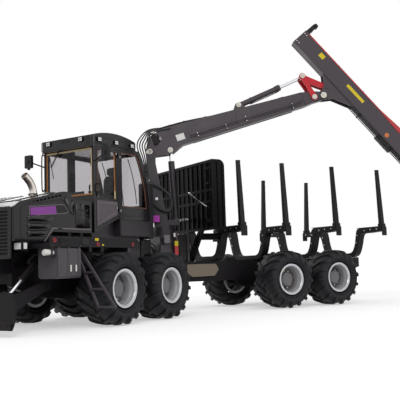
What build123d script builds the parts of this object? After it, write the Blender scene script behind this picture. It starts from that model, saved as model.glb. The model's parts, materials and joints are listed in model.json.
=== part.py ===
"""Forestry forwarder, eight wheels, hinged between its two frames, with a log crane over its load bed.

Millimetres, +Z up, floor at Z = 0. The rear frame lies along X with the front of the machine
towards +X; +Y is its left side. The front half is modelled straight along its own X, in front of
the centre pivot, and the crane straight along its own X, out from its column. Both are then turned
to the angles at which the machine stands.
"""

import copy
import math
import os

from build123d import *

# Stance, in degrees
FRAME_ANGLE = 25.5        # front frame turned to the left about the centre pivot
CRANE_SWING = 30.0        # crane swung from straight back towards the left
BOOM_RISE = 16.9          # main boom above level
JIB_DROP = 49.5           # outer boom below level

# Wheels
AXLE_HEIGHT = 675.0       # also the distance from the axle to the flat of a lug
LUG_HEIGHT = 42.0
LUG_LENGTH = 270.0
LUG_WIDTH = 75.0
LUG_SLANT = 30.0
LUG_MIDDLE = 160.0        # from the tyre's middle
LUG_SUNK = 12.0
FACET_COUNT = 16
TYRE_WIDTH = 710.0
TREAD_HALF = 300.0
SIDEWALL_RADIUS = 506.0   # where the tyre is widest
RIM_RADIUS = 358.0
RIM_HALF = 285.0
RIM_WALL = 18.0
RIM_FIT = 0.3             # between rim and tyre bead
WHEEL_TRACK_HALF = 1140.0
AXLE_PITCH_HALF = 757.0   # half the distance between the two wheels of a bogie
FRONT_BOGIE_X = 1873.0
REAR_BOGIE_X = -3794.0
HUB_RADIUS = 170.0
STUB_RADIUS = 90.0
STUB_CLEARANCE = 0.5
WHEEL_GAP = 12.0          # between a wheel and its bogie box

# Bogies
BOGIE_INNER_Y = 470.0
BOGIE_WIDTH = 230.0
BOGIE_END_RADIUS = 172.0
BOGIE_DEPTH_HALF = 215.0
BOGIE_WAIST = 330.0
AXLE_TUBE_RADIUS = 150.0
HOUSING_RADIUS = 235.0

# Frames
FRAME_HALF_WIDTH = 370.0
FRAME_TOP = 1160.0
FRAME_BOTTOM = 690.0
RAIL_WIDTH = 120.0
REAR_FRAME_FRONT = -330.0
REAR_FRAME_END = -6330.0
REAR_FRAME_RISE = 220.0   # how far the rails' lower edge rises behind the wheels
FRONT_FRAME_BACK = 330.0
FRONT_FRAME_FRONT = 4380.0
FRONT_FRAME_TOP = 1130.0
CROSS_MEMBER = 80.0
PIVOT_PIN_RADIUS = 70.0
PIVOT_FORK_PLATE = 90.0
PIVOT_TONGUE = 180.0
PIVOT_GAP = 6.0
PIVOT_EAR_RADIUS = 190.0
PIVOT_HEIGHT = 925.0

# Tow hitch at the rear
HITCH_BORE = 26.0
HITCH_PLATE = 50.0
HITCH_HALF = 110.0
HITCH_REACH = 190.0
HITCH_HEIGHT = 1000.0

# Load bed
FIRST_BUNK_X = -1643.0
LAST_BUNK_INSET = 219.0   # from the frame's end
BUNK_SPREAD = (0.0, 0.2854, 0.6423, 1.0)
BUNK_THICK = 200.0
BUNK_ARM_Y = 1530.0
BUNK_ARM_TOP = 1925.0
BUNK_ARM_DEPTH = 155.0
BUNK_ARM_TAPER = 30.0
BUNK_FLOOR = 1270.0
BUNK_FLOOR_HALF = 305.0
BUNK_FOOT_HALF = 440.0
BUNK_LEG_BOW = 35.0       # how far a leg bows outwards and down
BUNK_LEG_INNER = 615.0
BUNK_LEG_OUTER = 830.0
STAKE_TOP = 3393.0
STAKE_BASE_Y = 1460.0
STAKE_TOP_Y = 1388.0
STAKE_DEEP = 120.0
STAKE_WIDE = 95.0
STAKE_TAPER = 0.7
SEAT_GAP = 0.3            # between pieces that are bolted together

# Gate in front of the load
GATE_X = -1000.0
GATE_THICK = 60.0
GATE_HALF_WIDTH = 1290.0
GATE_PANEL_HALF = 1000.0
GATE_BOTTOM = 1840.0
GATE_TOP = 3420.0
GATE_BAR = 60.0
GATE_SHEET = 12.0
GATE_RIB = 40.0
GATE_RIB_COUNT = 9
GATE_RAILS = (2480.0, 2740.0)
GATE_WING = 330.0         # how far the side wings reach back from the gate's front
GATE_WING_ROUND = 150.0
GATE_WING_THICK = 50.0
GATE_WING_TUBES = 3
GATE_LEG_FOOT = (60.0, 325.0)
GATE_LEG_HEAD = (670.0, 850.0)
GATE_TIE_Y = 645.0        # side ties between the gate's legs and the first bunk
GATE_TIE_WIDE = 80.0
GATE_TIE_LOW = 1640.0
GATE_TIE_HIGH = 1790.0

# Crane, in its own plane: distance out from the column's axis, and height
CRANE_X = -450.0
CRANE_BASE_TOP = 1900.0
CRANE_BASE_HALF = 330.0
CRANE_BEARING = 160.0     # height of the slewing bearing's drum
COLUMN_RADIUS = 260.0
COLUMN_SWING_GAP = 0.3
COLUMN_FLANGE = 70.0
BOOM_PIN = (-269.0, 3732.0)
LIFT_FOOT = (300.0, 2085.0)
BOOM_LENGTH = 4329.0
LIFT_EYE = (463.0, -111.0)        # on the boom, from the boom pin
JIB_CYLINDER_FOOT = (BOOM_LENGTH - 1992.0, 415.0)
ROCKER_FOOT = (BOOM_LENGTH - 220.0, 30.0)
ROCKER_HEAD = (BOOM_LENGTH - 326.0, 597.0)
JIB_LINK_EYE = (-87.0, 215.0)     # on the outer boom, from the elbow
JIB_BACK = -1439.0
JIB_FRONT = 2960.0
JIB_TOP = 781.0
JIB_BOTTOM = 363.0
JIB_HALF_WIDTH = 150.0
JIB_WALL = 22.0
JIB_PAD = 90.0            # wear pads round the mouth, along the boom
SLIDE_GAP = 6.0
TIP_X = 3456.0
TIP_Z = 520.0
BOOM_HALF_WIDTH = 130.0
CRANE_PIN_RADIUS = 40.0
PIN_CLEARANCE = 0.5
SIDE_GAP = 6.0
LINK_PLATE = 30.0

# Cylinders
BARREL_RADIUS = 75.0
ROD_RADIUS = 42.0
ROD_CLEARANCE = 0.5

# Cab, in the front frame: X and height in its side view
CAB_HALF_WIDTH = 660.0
CAB_WALL = 50.0
CAB_FRONT_X = 2560.0
CAB_TOP = 3500.0
CAB_REAR_TOP_X = 1110.0
CAB_REAR_BOW = (862.0, 2925.0)
CAB_REAR_LOW = (760.0, 2300.0)
CAB_REAR_FLOOR = 2030.0   # underside of the floor behind the operator's feet
CAB_STEP_X = 1855.0
CAB_FRONT_FLOOR = 1740.0
PILLAR = 45.0
SCREEN_LOW = 2480.0
SCREEN_HIGH = 3410.0
REAR_WINDOW_LOW = 2380.0
SIDE_WINDOW_LOW = 2290.0
SIDE_WINDOW_HIGH = 3440.0
SIDE_WINDOW_EDGE = 80.0
GLASS = 12.0
DOOR_REAR = 1830.0
DOOR_PILLAR = 140.0
DOOR_EDGE = 60.0          # from the cab's front, top and underside to the door
DOOR_FRAME = 55.0         # round its window
DOOR_WINDOW_LOW = 2430.0
DOOR_GAP = 6.0
HINGE_OUTSIDE = 22.0      # hinge axis, out from the cab's side
HINGE_HEIGHTS = (2230.0, 3330.0)
HINGE_PIN = 10.0
HINGE_KNUCKLE = 50.0
HINGE_STRAP = 90.0
HINGE_STRAP_THICK = 12.0
ROOF_HALF_WIDTH = 690.0
ROOF_BACK = 1180.0
ROOF_FRONT = 2650.0
ROOF_EDGE_TOP = 3640.0
ROOF_CROWN = 3755.0
ROOF_ROUND = 110.0
VISOR_LOW = 3420.0
VISOR_GAP = 8.0
ROOF_LAMP = (110.0, 85.0, 28.0)   # width, height, depth
MIRROR_SIZE = (60.0, 190.0, 265.0)
MIRROR_Y = 960.0
MIRROR_HEIGHT = 3272.0
MIRROR_ARM = 15.0
MIRROR_X = (2545.0, 2690.0)       # left, right
CAB_BASE_HALF = 480.0
CAB_BASE_BACK = 900.0
CAB_BASE_FRONT = 2440.0
CAB_BASE_SHELF = 1700.0
CAB_BASE_SHELF_FRONT = 1750.0
SEAT_BACK = 1110.0
SEAT_SIZE = 480.0
SEAT_STAND = 320.0        # from the floor to the cushion
SEAT_CUSHION = 170.0
SEAT_BACKREST = 820.0
CONSOLE_X = 2330.0
CONSOLE_HALF = 260.0
CONSOLE_HEIGHT = 560.0

# Hood and engine
HOOD_BACK = 2740.0
HOOD_FRONT = 4700.0
HOOD_HALF_WIDTH = 750.0
HOOD_WALL = 30.0
HOOD_REAR_TOP = 2330.0
HOOD_SHOULDER_X = 3400.0
HOOD_SHOULDER_TOP = 2460.0
HOOD_FRONT_TOP = 2110.0
HOOD_LOW_REAR = 1720.0
HOOD_LOW_FRONT = 1540.0
HOOD_STEP_X = 3770.0      # where the lower edge starts to drop
HOOD_ROUND = 45.0
VENT_COUNT = 9
VENT_SIZE = (62.0, 30.0)
LOUVRE_OUT = 24.0
LOUVRE_HIGH = 70.0
LOUVRES = (                # back end and lower edge; all end at LOUVRE_FRONT
    (3800.0, 1895.0),
    (3860.0, 1765.0),
    (3930.0, 1635.0),
)
LOUVRE_FRONT = 4360.0
EXHAUST_AT = (3700.0, 200.0)
EXHAUST_RADIUS = 70.0
EXHAUST_WALL = 6.0
EXHAUST_RISE = 2420.0     # where it starts to bend forwards
EXHAUST_BEND = 350.0
EXHAUST_TURN = 50.0
EXHAUST_END = 120.0
ENGINE_HEIGHT = 850.0
ENGINE_INSET = 340.0      # from the hood's two ends
GRILLE_HALF = 720.0
GRILLE_LOW = 1263.0
GRILLE_THICK = 30.0
GRILLE_FRAME = 60.0
GRILLE_ROWS = 13
GRILLE_COLUMNS = 3
GRILLE_SLAT = 22.0

# Fittings of the front half
WALKWAY_OUTER = 1250.0
WALKWAY_TOP = 1490.0
WALKWAY_THICK = 60.0
WALKWAY_BACK = 1940.0
WALKWAY_FRONT = 4355.0
SIDE_BOARD_TOP = 1610.0
SIDE_BOARD_THICK = 30.0
TANK_BACK = 3610.0
TANK_FRONT = 4195.0
TANK_INNER = 815.0
TANK_BOTTOM = 900.0
TANK_ROUND = 60.0
OUTRIGGER_DEPTH = 80.0
OUTRIGGER_WIDE = 80.0
OUTRIGGER_LONG = 1235.0
OUTRIGGER_SHORT = 745.0
OUTRIGGERS = (             # X in the front frame, reach to the side
    (3020.0, OUTRIGGER_LONG),
    (3340.0, OUTRIGGER_LONG),
    (3950.0, OUTRIGGER_SHORT),
    (4380.0, OUTRIGGER_SHORT),
)
CAB_BRACKET_X = 2240.0
LAMP_BOX = (120.0, 220.0, 150.0)
LAMP_Y = 700.0
LAMP_LOW = 1386.0
LADDER_X = 3450.0
LADDER_FOOT = 390.0
LADDER_INNER = (960.0, 1490.0)    # Y at the top, at the foot
LADDER_OUTER = (1050.0, 1870.0)
LADDER_RUNGS = (990.0, 700.0, 390.0)
LADDER_BAR = 34.0
LADDER_TREAD = 70.0
BUMPER_LOW = 1010.0
BUMPER_HALF = 360.0

# Front blade
BLADE_PIVOT = (3890.0, 775.0)
BLADE_REACH = 1030.0      # from the pivot to the face
BLADE_ARM_Y = 700.0
BLADE_ARM_THICK = 70.0
BLADE_HALF_WIDTH = 1005.0
BLADE_BOTTOM = 110.0
BLADE_TOP = 710.0
BLADE_CURVE = 90.0
BLADE_PLATE = 35.0
BLADE_CYLINDER_FOOT = (3952.0, 1270.0)
BLADE_CYLINDER_Y = 585.0
BLADE_BARREL_RADIUS = 55.0
BLADE_EYE_HALF = 40.0
BLADE_PIN = 28.0

# Grapple
LINK_LENGTH = 330.0
ROTATOR_RADIUS = 130.0
ROTATOR_HEIGHT = 300.0
CLAW_REACH = 430.0
CLAW_DROP = 760.0
CLAW_PIVOT = 190.0
CLAW_PIVOT_DROP = 80.0
CLAW_PIN = 32.0
CLAW_HALF = 69.0
CLAW_CHEEK = 30.0


def turned(point, angle):
    """A point of the crane's plane, turned upwards about the plane's origin."""
    cosine = math.cos(math.radians(angle))
    sine = math.sin(math.radians(angle))
    return (point[0] * cosine - point[1] * sine, point[0] * sine + point[1] * cosine)


def shifted(point, by):
    return (point[0] + by[0], point[1] + by[1])


def on_boom(point):
    """A point of the main boom, in the crane's plane."""
    return shifted(turned(point, BOOM_RISE), BOOM_PIN)


def on_jib(point):
    """A point of the outer boom, in the crane's plane."""
    return shifted(turned(point, -JIB_DROP), on_boom((BOOM_LENGTH, 0.0)))


def span(start, end):
    return math.hypot(end[0] - start[0], end[1] - start[1])


def rise(start, end):
    return math.degrees(math.atan2(end[1] - start[1], end[0] - start[0]))


def leaning(point, angle=0.0):
    """The place of a piece in the crane's plane: its origin, and how far its X points up."""
    return Location((point[0], 0, point[1]), (0, -angle, 0))


def upright(y):
    """An upright plane facing the right side of the machine; what it extrudes runs from y inwards."""
    return Plane.XZ.offset(-y)


def outline(points):
    """A closed straight-sided outline, added to the sketch in hand."""
    return Polygon(*points, align=None)


def shrunk(shape, by):
    """The same outline moved inwards by a distance, or outwards where it is negative."""
    with BuildSketch(Plane.XY, mode=Mode.PRIVATE) as sketch:
        add(shape)
        offset(amount=-by, kind=Kind.INTERSECTION, mode=Mode.REPLACE)
    return sketch.sketch


FRONT = Location((0, 0, 0), (0, 0, FRAME_ANGLE))
REAR = Location((0, 0, 0))
CRANE = Location((CRANE_X, 0, 0), (0, 0, 180.0 - CRANE_SWING))
BOOM = CRANE * leaning(BOOM_PIN, BOOM_RISE)
ELBOW = on_boom((BOOM_LENGTH, 0.0))
JIB = CRANE * leaning(ELBOW, -JIB_DROP)
LIFT_HEAD = on_boom(LIFT_EYE)
JIB_FOOT = on_boom(JIB_CYLINDER_FOOT)
ROCKER_LOW = on_boom(ROCKER_FOOT)
ROCKER_TOP = on_boom(ROCKER_HEAD)
LINK_LOW = on_jib(JIB_LINK_EYE)
TIP = on_jib((TIP_X, TIP_Z))
LAST_BUNK_X = REAR_FRAME_END + LAST_BUNK_INSET
BUNK_X = tuple(FIRST_BUNK_X + share * (LAST_BUNK_X - FIRST_BUNK_X) for share in BUNK_SPREAD)

pieces = []


def finish(label, part, frame):
    """Names a finished piece and puts it in its place on the machine."""
    part.label = label
    pieces.append((label, part, frame))


# One flat facet of a tyre, its axle along Y, with a lug on each half of its tread
FACET = 360.0 / FACET_COUNT
TYRE_CROWN = AXLE_HEIGHT - LUG_HEIGHT
TYRE_BORE = RIM_RADIUS + RIM_FIT
FACET_HALF = math.radians(FACET / 2)
with BuildPart() as facet:
    with BuildSketch(Plane.YZ):
        outline((
            (TREAD_HALF, TYRE_BORE),
            (TYRE_WIDTH / 2, SIDEWALL_RADIUS),
            (TREAD_HALF, TYRE_CROWN),
            (-TREAD_HALF, TYRE_CROWN),
            (-TYRE_WIDTH / 2, SIDEWALL_RADIUS),
            (-TREAD_HALF, TYRE_BORE),
        ))
    extrude(amount=AXLE_HEIGHT * math.tan(FACET_HALF) + LUG_SUNK, both=True)
    for side in (1, -1):
        split(bisect_by=Plane(origin=(0, 0, 0), x_dir=(0, 1, 0), z_dir=(side * math.cos(FACET_HALF), 0, -math.sin(FACET_HALF))),
              keep=Keep.BOTTOM)
    for side in (1, -1):
        with Locations(Location((0, side * LUG_MIDDLE, AXLE_HEIGHT), (0, 0, side * LUG_SLANT))):
            Box(LUG_WIDTH, LUG_LENGTH, LUG_HEIGHT + LUG_SUNK, align=(Align.CENTER, Align.CENTER, Align.MAX))

with BuildPart() as tyre:
    for step in range(FACET_COUNT):
        add(facet.part, rotation=(0, step * FACET, 0))

# Rim with its disc and hub, outer side towards +Y
HUB_BORE = STUB_RADIUS + STUB_CLEARANCE
STUB_END = 60.0
DISC = 45.0                # outer face of the disc, from the wheel's middle
DISC_THICK = 28.0
HUB_OUT = 105.0            # hub cap beyond the disc
RIM_SECTION = (            # across the wheel, radius
    (-RIM_HALF, RIM_RADIUS),
    (RIM_HALF, RIM_RADIUS),
    (RIM_HALF, RIM_RADIUS - RIM_WALL),
    (DISC + 45.0, RIM_RADIUS - 3 * RIM_WALL),
    (DISC, HUB_RADIUS + 30.0),
    (DISC, HUB_RADIUS),
    (DISC + HUB_OUT, HUB_RADIUS - 25.0),
    (DISC + HUB_OUT, 0.0),
    (STUB_END, 0.0),
    (STUB_END, HUB_BORE),
    (DISC - 3 * DISC_THICK, HUB_BORE),
    (DISC - 3 * DISC_THICK, HUB_RADIUS),
    (DISC - DISC_THICK, HUB_RADIUS + 30.0),
    (DISC - DISC_THICK, RIM_RADIUS - 2 * RIM_WALL),
    (-RIM_HALF, RIM_RADIUS - RIM_WALL),
)
with BuildPart() as rim:
    with BuildSketch(Plane.YZ):
        outline(RIM_SECTION)
    revolve(axis=Axis.Y)

WHEELS = (                 # name, frame, X of the axle, side
    ("front_left_fore", FRONT, FRONT_BOGIE_X + AXLE_PITCH_HALF, 1),
    ("front_left_aft", FRONT, FRONT_BOGIE_X - AXLE_PITCH_HALF, 1),
    ("front_right_fore", FRONT, FRONT_BOGIE_X + AXLE_PITCH_HALF, -1),
    ("front_right_aft", FRONT, FRONT_BOGIE_X - AXLE_PITCH_HALF, -1),
    ("rear_left_fore", REAR, REAR_BOGIE_X + AXLE_PITCH_HALF, 1),
    ("rear_left_aft", REAR, REAR_BOGIE_X - AXLE_PITCH_HALF, 1),
    ("rear_right_fore", REAR, REAR_BOGIE_X + AXLE_PITCH_HALF, -1),
    ("rear_right_aft", REAR, REAR_BOGIE_X - AXLE_PITCH_HALF, -1),
)
for name, frame, x, side in WHEELS:
    hub = frame * Location((x, side * WHEEL_TRACK_HALF, AXLE_HEIGHT), (0, 0, 90.0 - side * 90.0))
    finish("tyre_" + name, copy.copy(tyre.part), hub)
    finish("rim_" + name, copy.copy(rim.part), hub)


def bogie_pair(x):
    """Bogie boxes of one half of the machine, both sides, each with its two stub axles."""
    outer = BOGIE_INNER_Y + BOGIE_WIDTH
    stub = WHEEL_TRACK_HALF + STUB_END - WHEEL_GAP
    with BuildPart() as pair:
        for side in (1, -1):
            face = Plane(origin=(x, side * BOGIE_INNER_Y, AXLE_HEIGHT), x_dir=(side, 0, 0), z_dir=(0, side, 0))
            with BuildSketch(face):
                outline((
                    (-AXLE_PITCH_HALF, BOGIE_END_RADIUS),
                    (-BOGIE_WAIST, BOGIE_DEPTH_HALF),
                    (BOGIE_WAIST, BOGIE_DEPTH_HALF),
                    (AXLE_PITCH_HALF, BOGIE_END_RADIUS),
                    (AXLE_PITCH_HALF, -BOGIE_END_RADIUS),
                    (BOGIE_WAIST, -BOGIE_DEPTH_HALF),
                    (-BOGIE_WAIST, -BOGIE_DEPTH_HALF),
                    (-AXLE_PITCH_HALF, -BOGIE_END_RADIUS),
                ))
                with Locations((-AXLE_PITCH_HALF, 0), (AXLE_PITCH_HALF, 0)):
                    Circle(BOGIE_END_RADIUS)
            extrude(amount=BOGIE_WIDTH)
            with BuildSketch(face.offset(BOGIE_WIDTH)):
                with Locations((-AXLE_PITCH_HALF, 0), (AXLE_PITCH_HALF, 0)):
                    Circle(STUB_RADIUS)
            extrude(amount=stub - outer)
    return pair.part


finish("front_bogies", bogie_pair(FRONT_BOGIE_X), FRONT)
finish("rear_bogies", bogie_pair(REAR_BOGIE_X), REAR)

AXLE_TUBE_END = BOGIE_INNER_Y - SEAT_GAP
PIVOT_BORE = PIVOT_PIN_RADIUS + PIN_CLEARANCE
HITCH_X = REAR_FRAME_END - HITCH_REACH + HITCH_HALF


def axle_housing(x):
    """The cross tube and gear housing under a frame, to be made inside its block."""
    with Locations(Location((x, 0, AXLE_HEIGHT), (90, 0, 0))):
        Cylinder(AXLE_TUBE_RADIUS, 2 * AXLE_TUBE_END)
        Cylinder(HOUSING_RADIUS, 2 * (FRAME_HALF_WIDTH - RAIL_WIDTH))


# Rear frame: two rails, cross members, axle housing and the tongue of the centre pivot
with BuildPart() as rear_frame:
    with BuildSketch(upright(FRAME_HALF_WIDTH)):
        outline((
            (REAR_FRAME_FRONT, FRAME_TOP),
            (REAR_FRAME_END, FRAME_TOP),
            (REAR_FRAME_END, FRAME_BOTTOM + REAR_FRAME_RISE),
            (REAR_BOGIE_X - AXLE_PITCH_HALF - AXLE_HEIGHT, FRAME_BOTTOM),
            (REAR_FRAME_FRONT, FRAME_BOTTOM),
        ))
    extrude(amount=RAIL_WIDTH)
    mirror(about=Plane.XZ)
    for x in (*BUNK_X, REAR_FRAME_END + CROSS_MEMBER / 2):
        with Locations((x, 0, FRAME_TOP)):
            Box(CROSS_MEMBER, 2 * FRAME_HALF_WIDTH, REAR_FRAME_RISE, align=(Align.CENTER, Align.CENTER, Align.MAX))
    with Locations((REAR_FRAME_FRONT, 0, FRAME_TOP)):
        Box(6 * CROSS_MEMBER, 2 * FRAME_HALF_WIDTH, FRAME_TOP - FRAME_BOTTOM, align=(Align.MAX, Align.CENTER, Align.MAX))
    axle_housing(REAR_BOGIE_X)
    with BuildSketch(Plane.XY.offset(PIVOT_HEIGHT - PIVOT_TONGUE / 2)):
        Circle(PIVOT_EAR_RADIUS)
        with Locations((REAR_FRAME_FRONT / 2, 0)):
            Rectangle(-REAR_FRAME_FRONT, 2 * PIVOT_EAR_RADIUS)
        Circle(PIVOT_BORE, mode=Mode.SUBTRACT)
    extrude(amount=PIVOT_TONGUE)
    with Locations((REAR_FRAME_END + 1, 0, HITCH_HEIGHT)):
        Box(HITCH_REACH, 2 * HITCH_HALF, HITCH_PLATE, align=(Align.MAX, Align.CENTER, Align.CENTER))
    with Locations((HITCH_X, 0, HITCH_HEIGHT)):
        Cylinder(HITCH_BORE, HITCH_PLATE + 2, mode=Mode.SUBTRACT)
finish("rear_frame", rear_frame.part, REAR)

# What the front frame carries above and before it
OUTRIGGER_TOP = WALKWAY_TOP - WALKWAY_THICK - SEAT_GAP
BLADE_FOOT_HALF = BLADE_BARREL_RADIUS + 6.0
BLADE_CHEEK = 20.0
BLADE_BOSS = 75.0
HOOD_POST = HOOD_HALF_WIDTH - HOOD_WALL / 4

# Front frame: two rails, cross members, axle housing and the fork of the centre pivot with its pin
FORK_LIFT = PIVOT_TONGUE / 2 + PIVOT_GAP
FRONT_MEMBERS = (          # cross members, from the front frame's front end
    60.0,
    1080.0,
    1880.0,
    3080.0,
)
with BuildPart() as front_frame:
    with BuildSketch(upright(FRAME_HALF_WIDTH)):
        outline((
            (FRONT_FRAME_BACK, FRONT_FRAME_TOP),
            (FRONT_FRAME_FRONT, FRONT_FRAME_TOP),
            (FRONT_FRAME_FRONT, FRAME_BOTTOM + 100.0),
            (FRONT_FRAME_FRONT - 250.0, FRAME_BOTTOM),
            (FRONT_FRAME_BACK, FRAME_BOTTOM),
        ))
    extrude(amount=RAIL_WIDTH)
    mirror(about=Plane.XZ)
    for x in (FRONT_FRAME_BACK + CROSS_MEMBER / 2, *[FRONT_FRAME_FRONT - back for back in FRONT_MEMBERS]):
        with Locations((x, 0, FRONT_FRAME_TOP)):
            Box(CROSS_MEMBER, 2 * FRAME_HALF_WIDTH, 300, align=(Align.CENTER, Align.CENTER, Align.MAX))
    axle_housing(FRONT_BOGIE_X)
    for side in (1, -1):
        low = PIVOT_HEIGHT + side * (FORK_LIFT + PIVOT_FORK_PLATE / 2)
        with BuildSketch(Plane.XY.offset(low - PIVOT_FORK_PLATE / 2)):
            Circle(PIVOT_EAR_RADIUS)
            with Locations((FRONT_FRAME_BACK / 2, 0)):
                Rectangle(FRONT_FRAME_BACK, 2 * PIVOT_EAR_RADIUS)
        extrude(amount=PIVOT_FORK_PLATE)
    with Locations((0, 0, PIVOT_HEIGHT)):
        Cylinder(PIVOT_PIN_RADIUS, 2 * FORK_LIFT + PIVOT_FORK_PLATE)
    for x, reach in OUTRIGGERS:
        hood_low = HOOD_LOW_REAR if x < HOOD_STEP_X else HOOD_LOW_FRONT
        with BuildSketch(Plane.YZ.offset(x - OUTRIGGER_WIDE / 2)):
            outline((
                (FRAME_HALF_WIDTH - RAIL_WIDTH, FRONT_FRAME_TOP - 60),
                (FRAME_HALF_WIDTH, FRONT_FRAME_TOP - 60),
                (FRAME_HALF_WIDTH + 40, OUTRIGGER_TOP - OUTRIGGER_DEPTH),
                (reach, OUTRIGGER_TOP - OUTRIGGER_DEPTH),
                (reach, OUTRIGGER_TOP),
                (HOOD_POST, OUTRIGGER_TOP),
                (HOOD_POST, hood_low - SEAT_GAP),
                (HOOD_HALF_WIDTH - 2 * HOOD_WALL, hood_low - SEAT_GAP),
                (HOOD_HALF_WIDTH - 2 * HOOD_WALL, OUTRIGGER_TOP),
                (FRAME_HALF_WIDTH - RAIL_WIDTH, OUTRIGGER_TOP),
            ))
            mirror(about=Plane.YZ)
        extrude(amount=OUTRIGGER_WIDE)
    with Locations((FRONT_FRAME_FRONT - 1, 0, BUMPER_LOW)):
        Box(HOOD_FRONT - FRONT_FRAME_FRONT, 2 * BUMPER_HALF, OUTRIGGER_TOP - BUMPER_LOW,
            align=(Align.MIN, Align.CENTER, Align.MIN))
    with Locations(Location((BLADE_PIVOT[0], 0, BLADE_PIVOT[1]), (90, 0, 0))):
        Cylinder(CRANE_PIN_RADIUS, 2 * (BLADE_ARM_Y + BLADE_ARM_THICK / 2 + 12))
        Cylinder(BLADE_BOSS, 2 * (BLADE_ARM_Y - BLADE_ARM_THICK / 2 - SIDE_GAP))
    for side in (1, -1):
        for cheek in (1, -1):
            middle = side * BLADE_CYLINDER_Y + cheek * (BLADE_FOOT_HALF + SIDE_GAP + BLADE_CHEEK / 2)
            with Locations((BLADE_CYLINDER_FOOT[0], middle, OUTRIGGER_TOP - 10)):
                Box(OUTRIGGER_WIDE, BLADE_CHEEK, OUTRIGGER_TOP - 10 - BLADE_CYLINDER_FOOT[1] + 50,
                    align=(Align.CENTER, Align.CENTER, Align.MAX))
        foot_pin = (BLADE_CYLINDER_FOOT[0], side * BLADE_CYLINDER_Y, BLADE_CYLINDER_FOOT[1])
        with Locations(Location(foot_pin, (90, 0, 0))):
            Cylinder(BLADE_PIN, 2 * (BLADE_FOOT_HALF + SIDE_GAP + BLADE_CHEEK + 8))
finish("front_frame", front_frame.part, FRONT)

# Bunks: four bowl-shaped cross beams on the rear frame, and the two stakes that stand on each
STAKE_FOOT = BUNK_ARM_TOP + SEAT_GAP
BUNK_LOW = FRAME_TOP + SEAT_GAP
BUNK_ARM_LOW = BUNK_ARM_TOP - BUNK_ARM_DEPTH


def bowed(start, end):
    """An arc between two points of a leg, bowed outwards and down by a set distance."""
    length = span(start, end)
    across = ((end[1] - start[1]) / length * BUNK_LEG_BOW, -(end[0] - start[0]) / length * BUNK_LEG_BOW)
    middle = shifted(((start[0] + end[0]) / 2, (start[1] + end[1]) / 2), across)
    return ThreePointArc(start, middle, end)


with BuildPart() as bunks:
    for x in BUNK_X:
        with BuildSketch(Plane.YZ.offset(x - BUNK_THICK / 2)):
            with BuildLine():
                Polyline((0, BUNK_FLOOR), (0, BUNK_LOW), (BUNK_FOOT_HALF, BUNK_LOW))
                bowed((BUNK_FOOT_HALF, BUNK_LOW), (BUNK_LEG_OUTER, BUNK_ARM_LOW))
                Polyline((BUNK_LEG_OUTER, BUNK_ARM_LOW), (BUNK_ARM_Y, BUNK_ARM_LOW + BUNK_ARM_TAPER),
                         (BUNK_ARM_Y, BUNK_ARM_TOP), (BUNK_LEG_INNER, BUNK_ARM_TOP))
                bowed((BUNK_FLOOR_HALF, BUNK_FLOOR), (BUNK_LEG_INNER, BUNK_ARM_TOP))
                Line((BUNK_FLOOR_HALF, BUNK_FLOOR), (0, BUNK_FLOOR))
            make_face()
            mirror(about=Plane.YZ)
        extrude(amount=BUNK_THICK)
finish("bunks", bunks.part, REAR)

with BuildPart() as stakes:
    for x in BUNK_X:
        for side in (1, -1):
            with BuildSketch(Plane.XY.offset(STAKE_FOOT)):
                with Locations((x, side * STAKE_BASE_Y)):
                    Rectangle(STAKE_DEEP, STAKE_WIDE)
            with BuildSketch(Plane.XY.offset(STAKE_TOP)):
                with Locations((x, side * STAKE_TOP_Y)):
                    Rectangle(STAKE_DEEP * STAKE_TAPER, STAKE_WIDE * STAKE_TAPER)
            loft()
finish("stakes", stakes.part, REAR)

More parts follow.
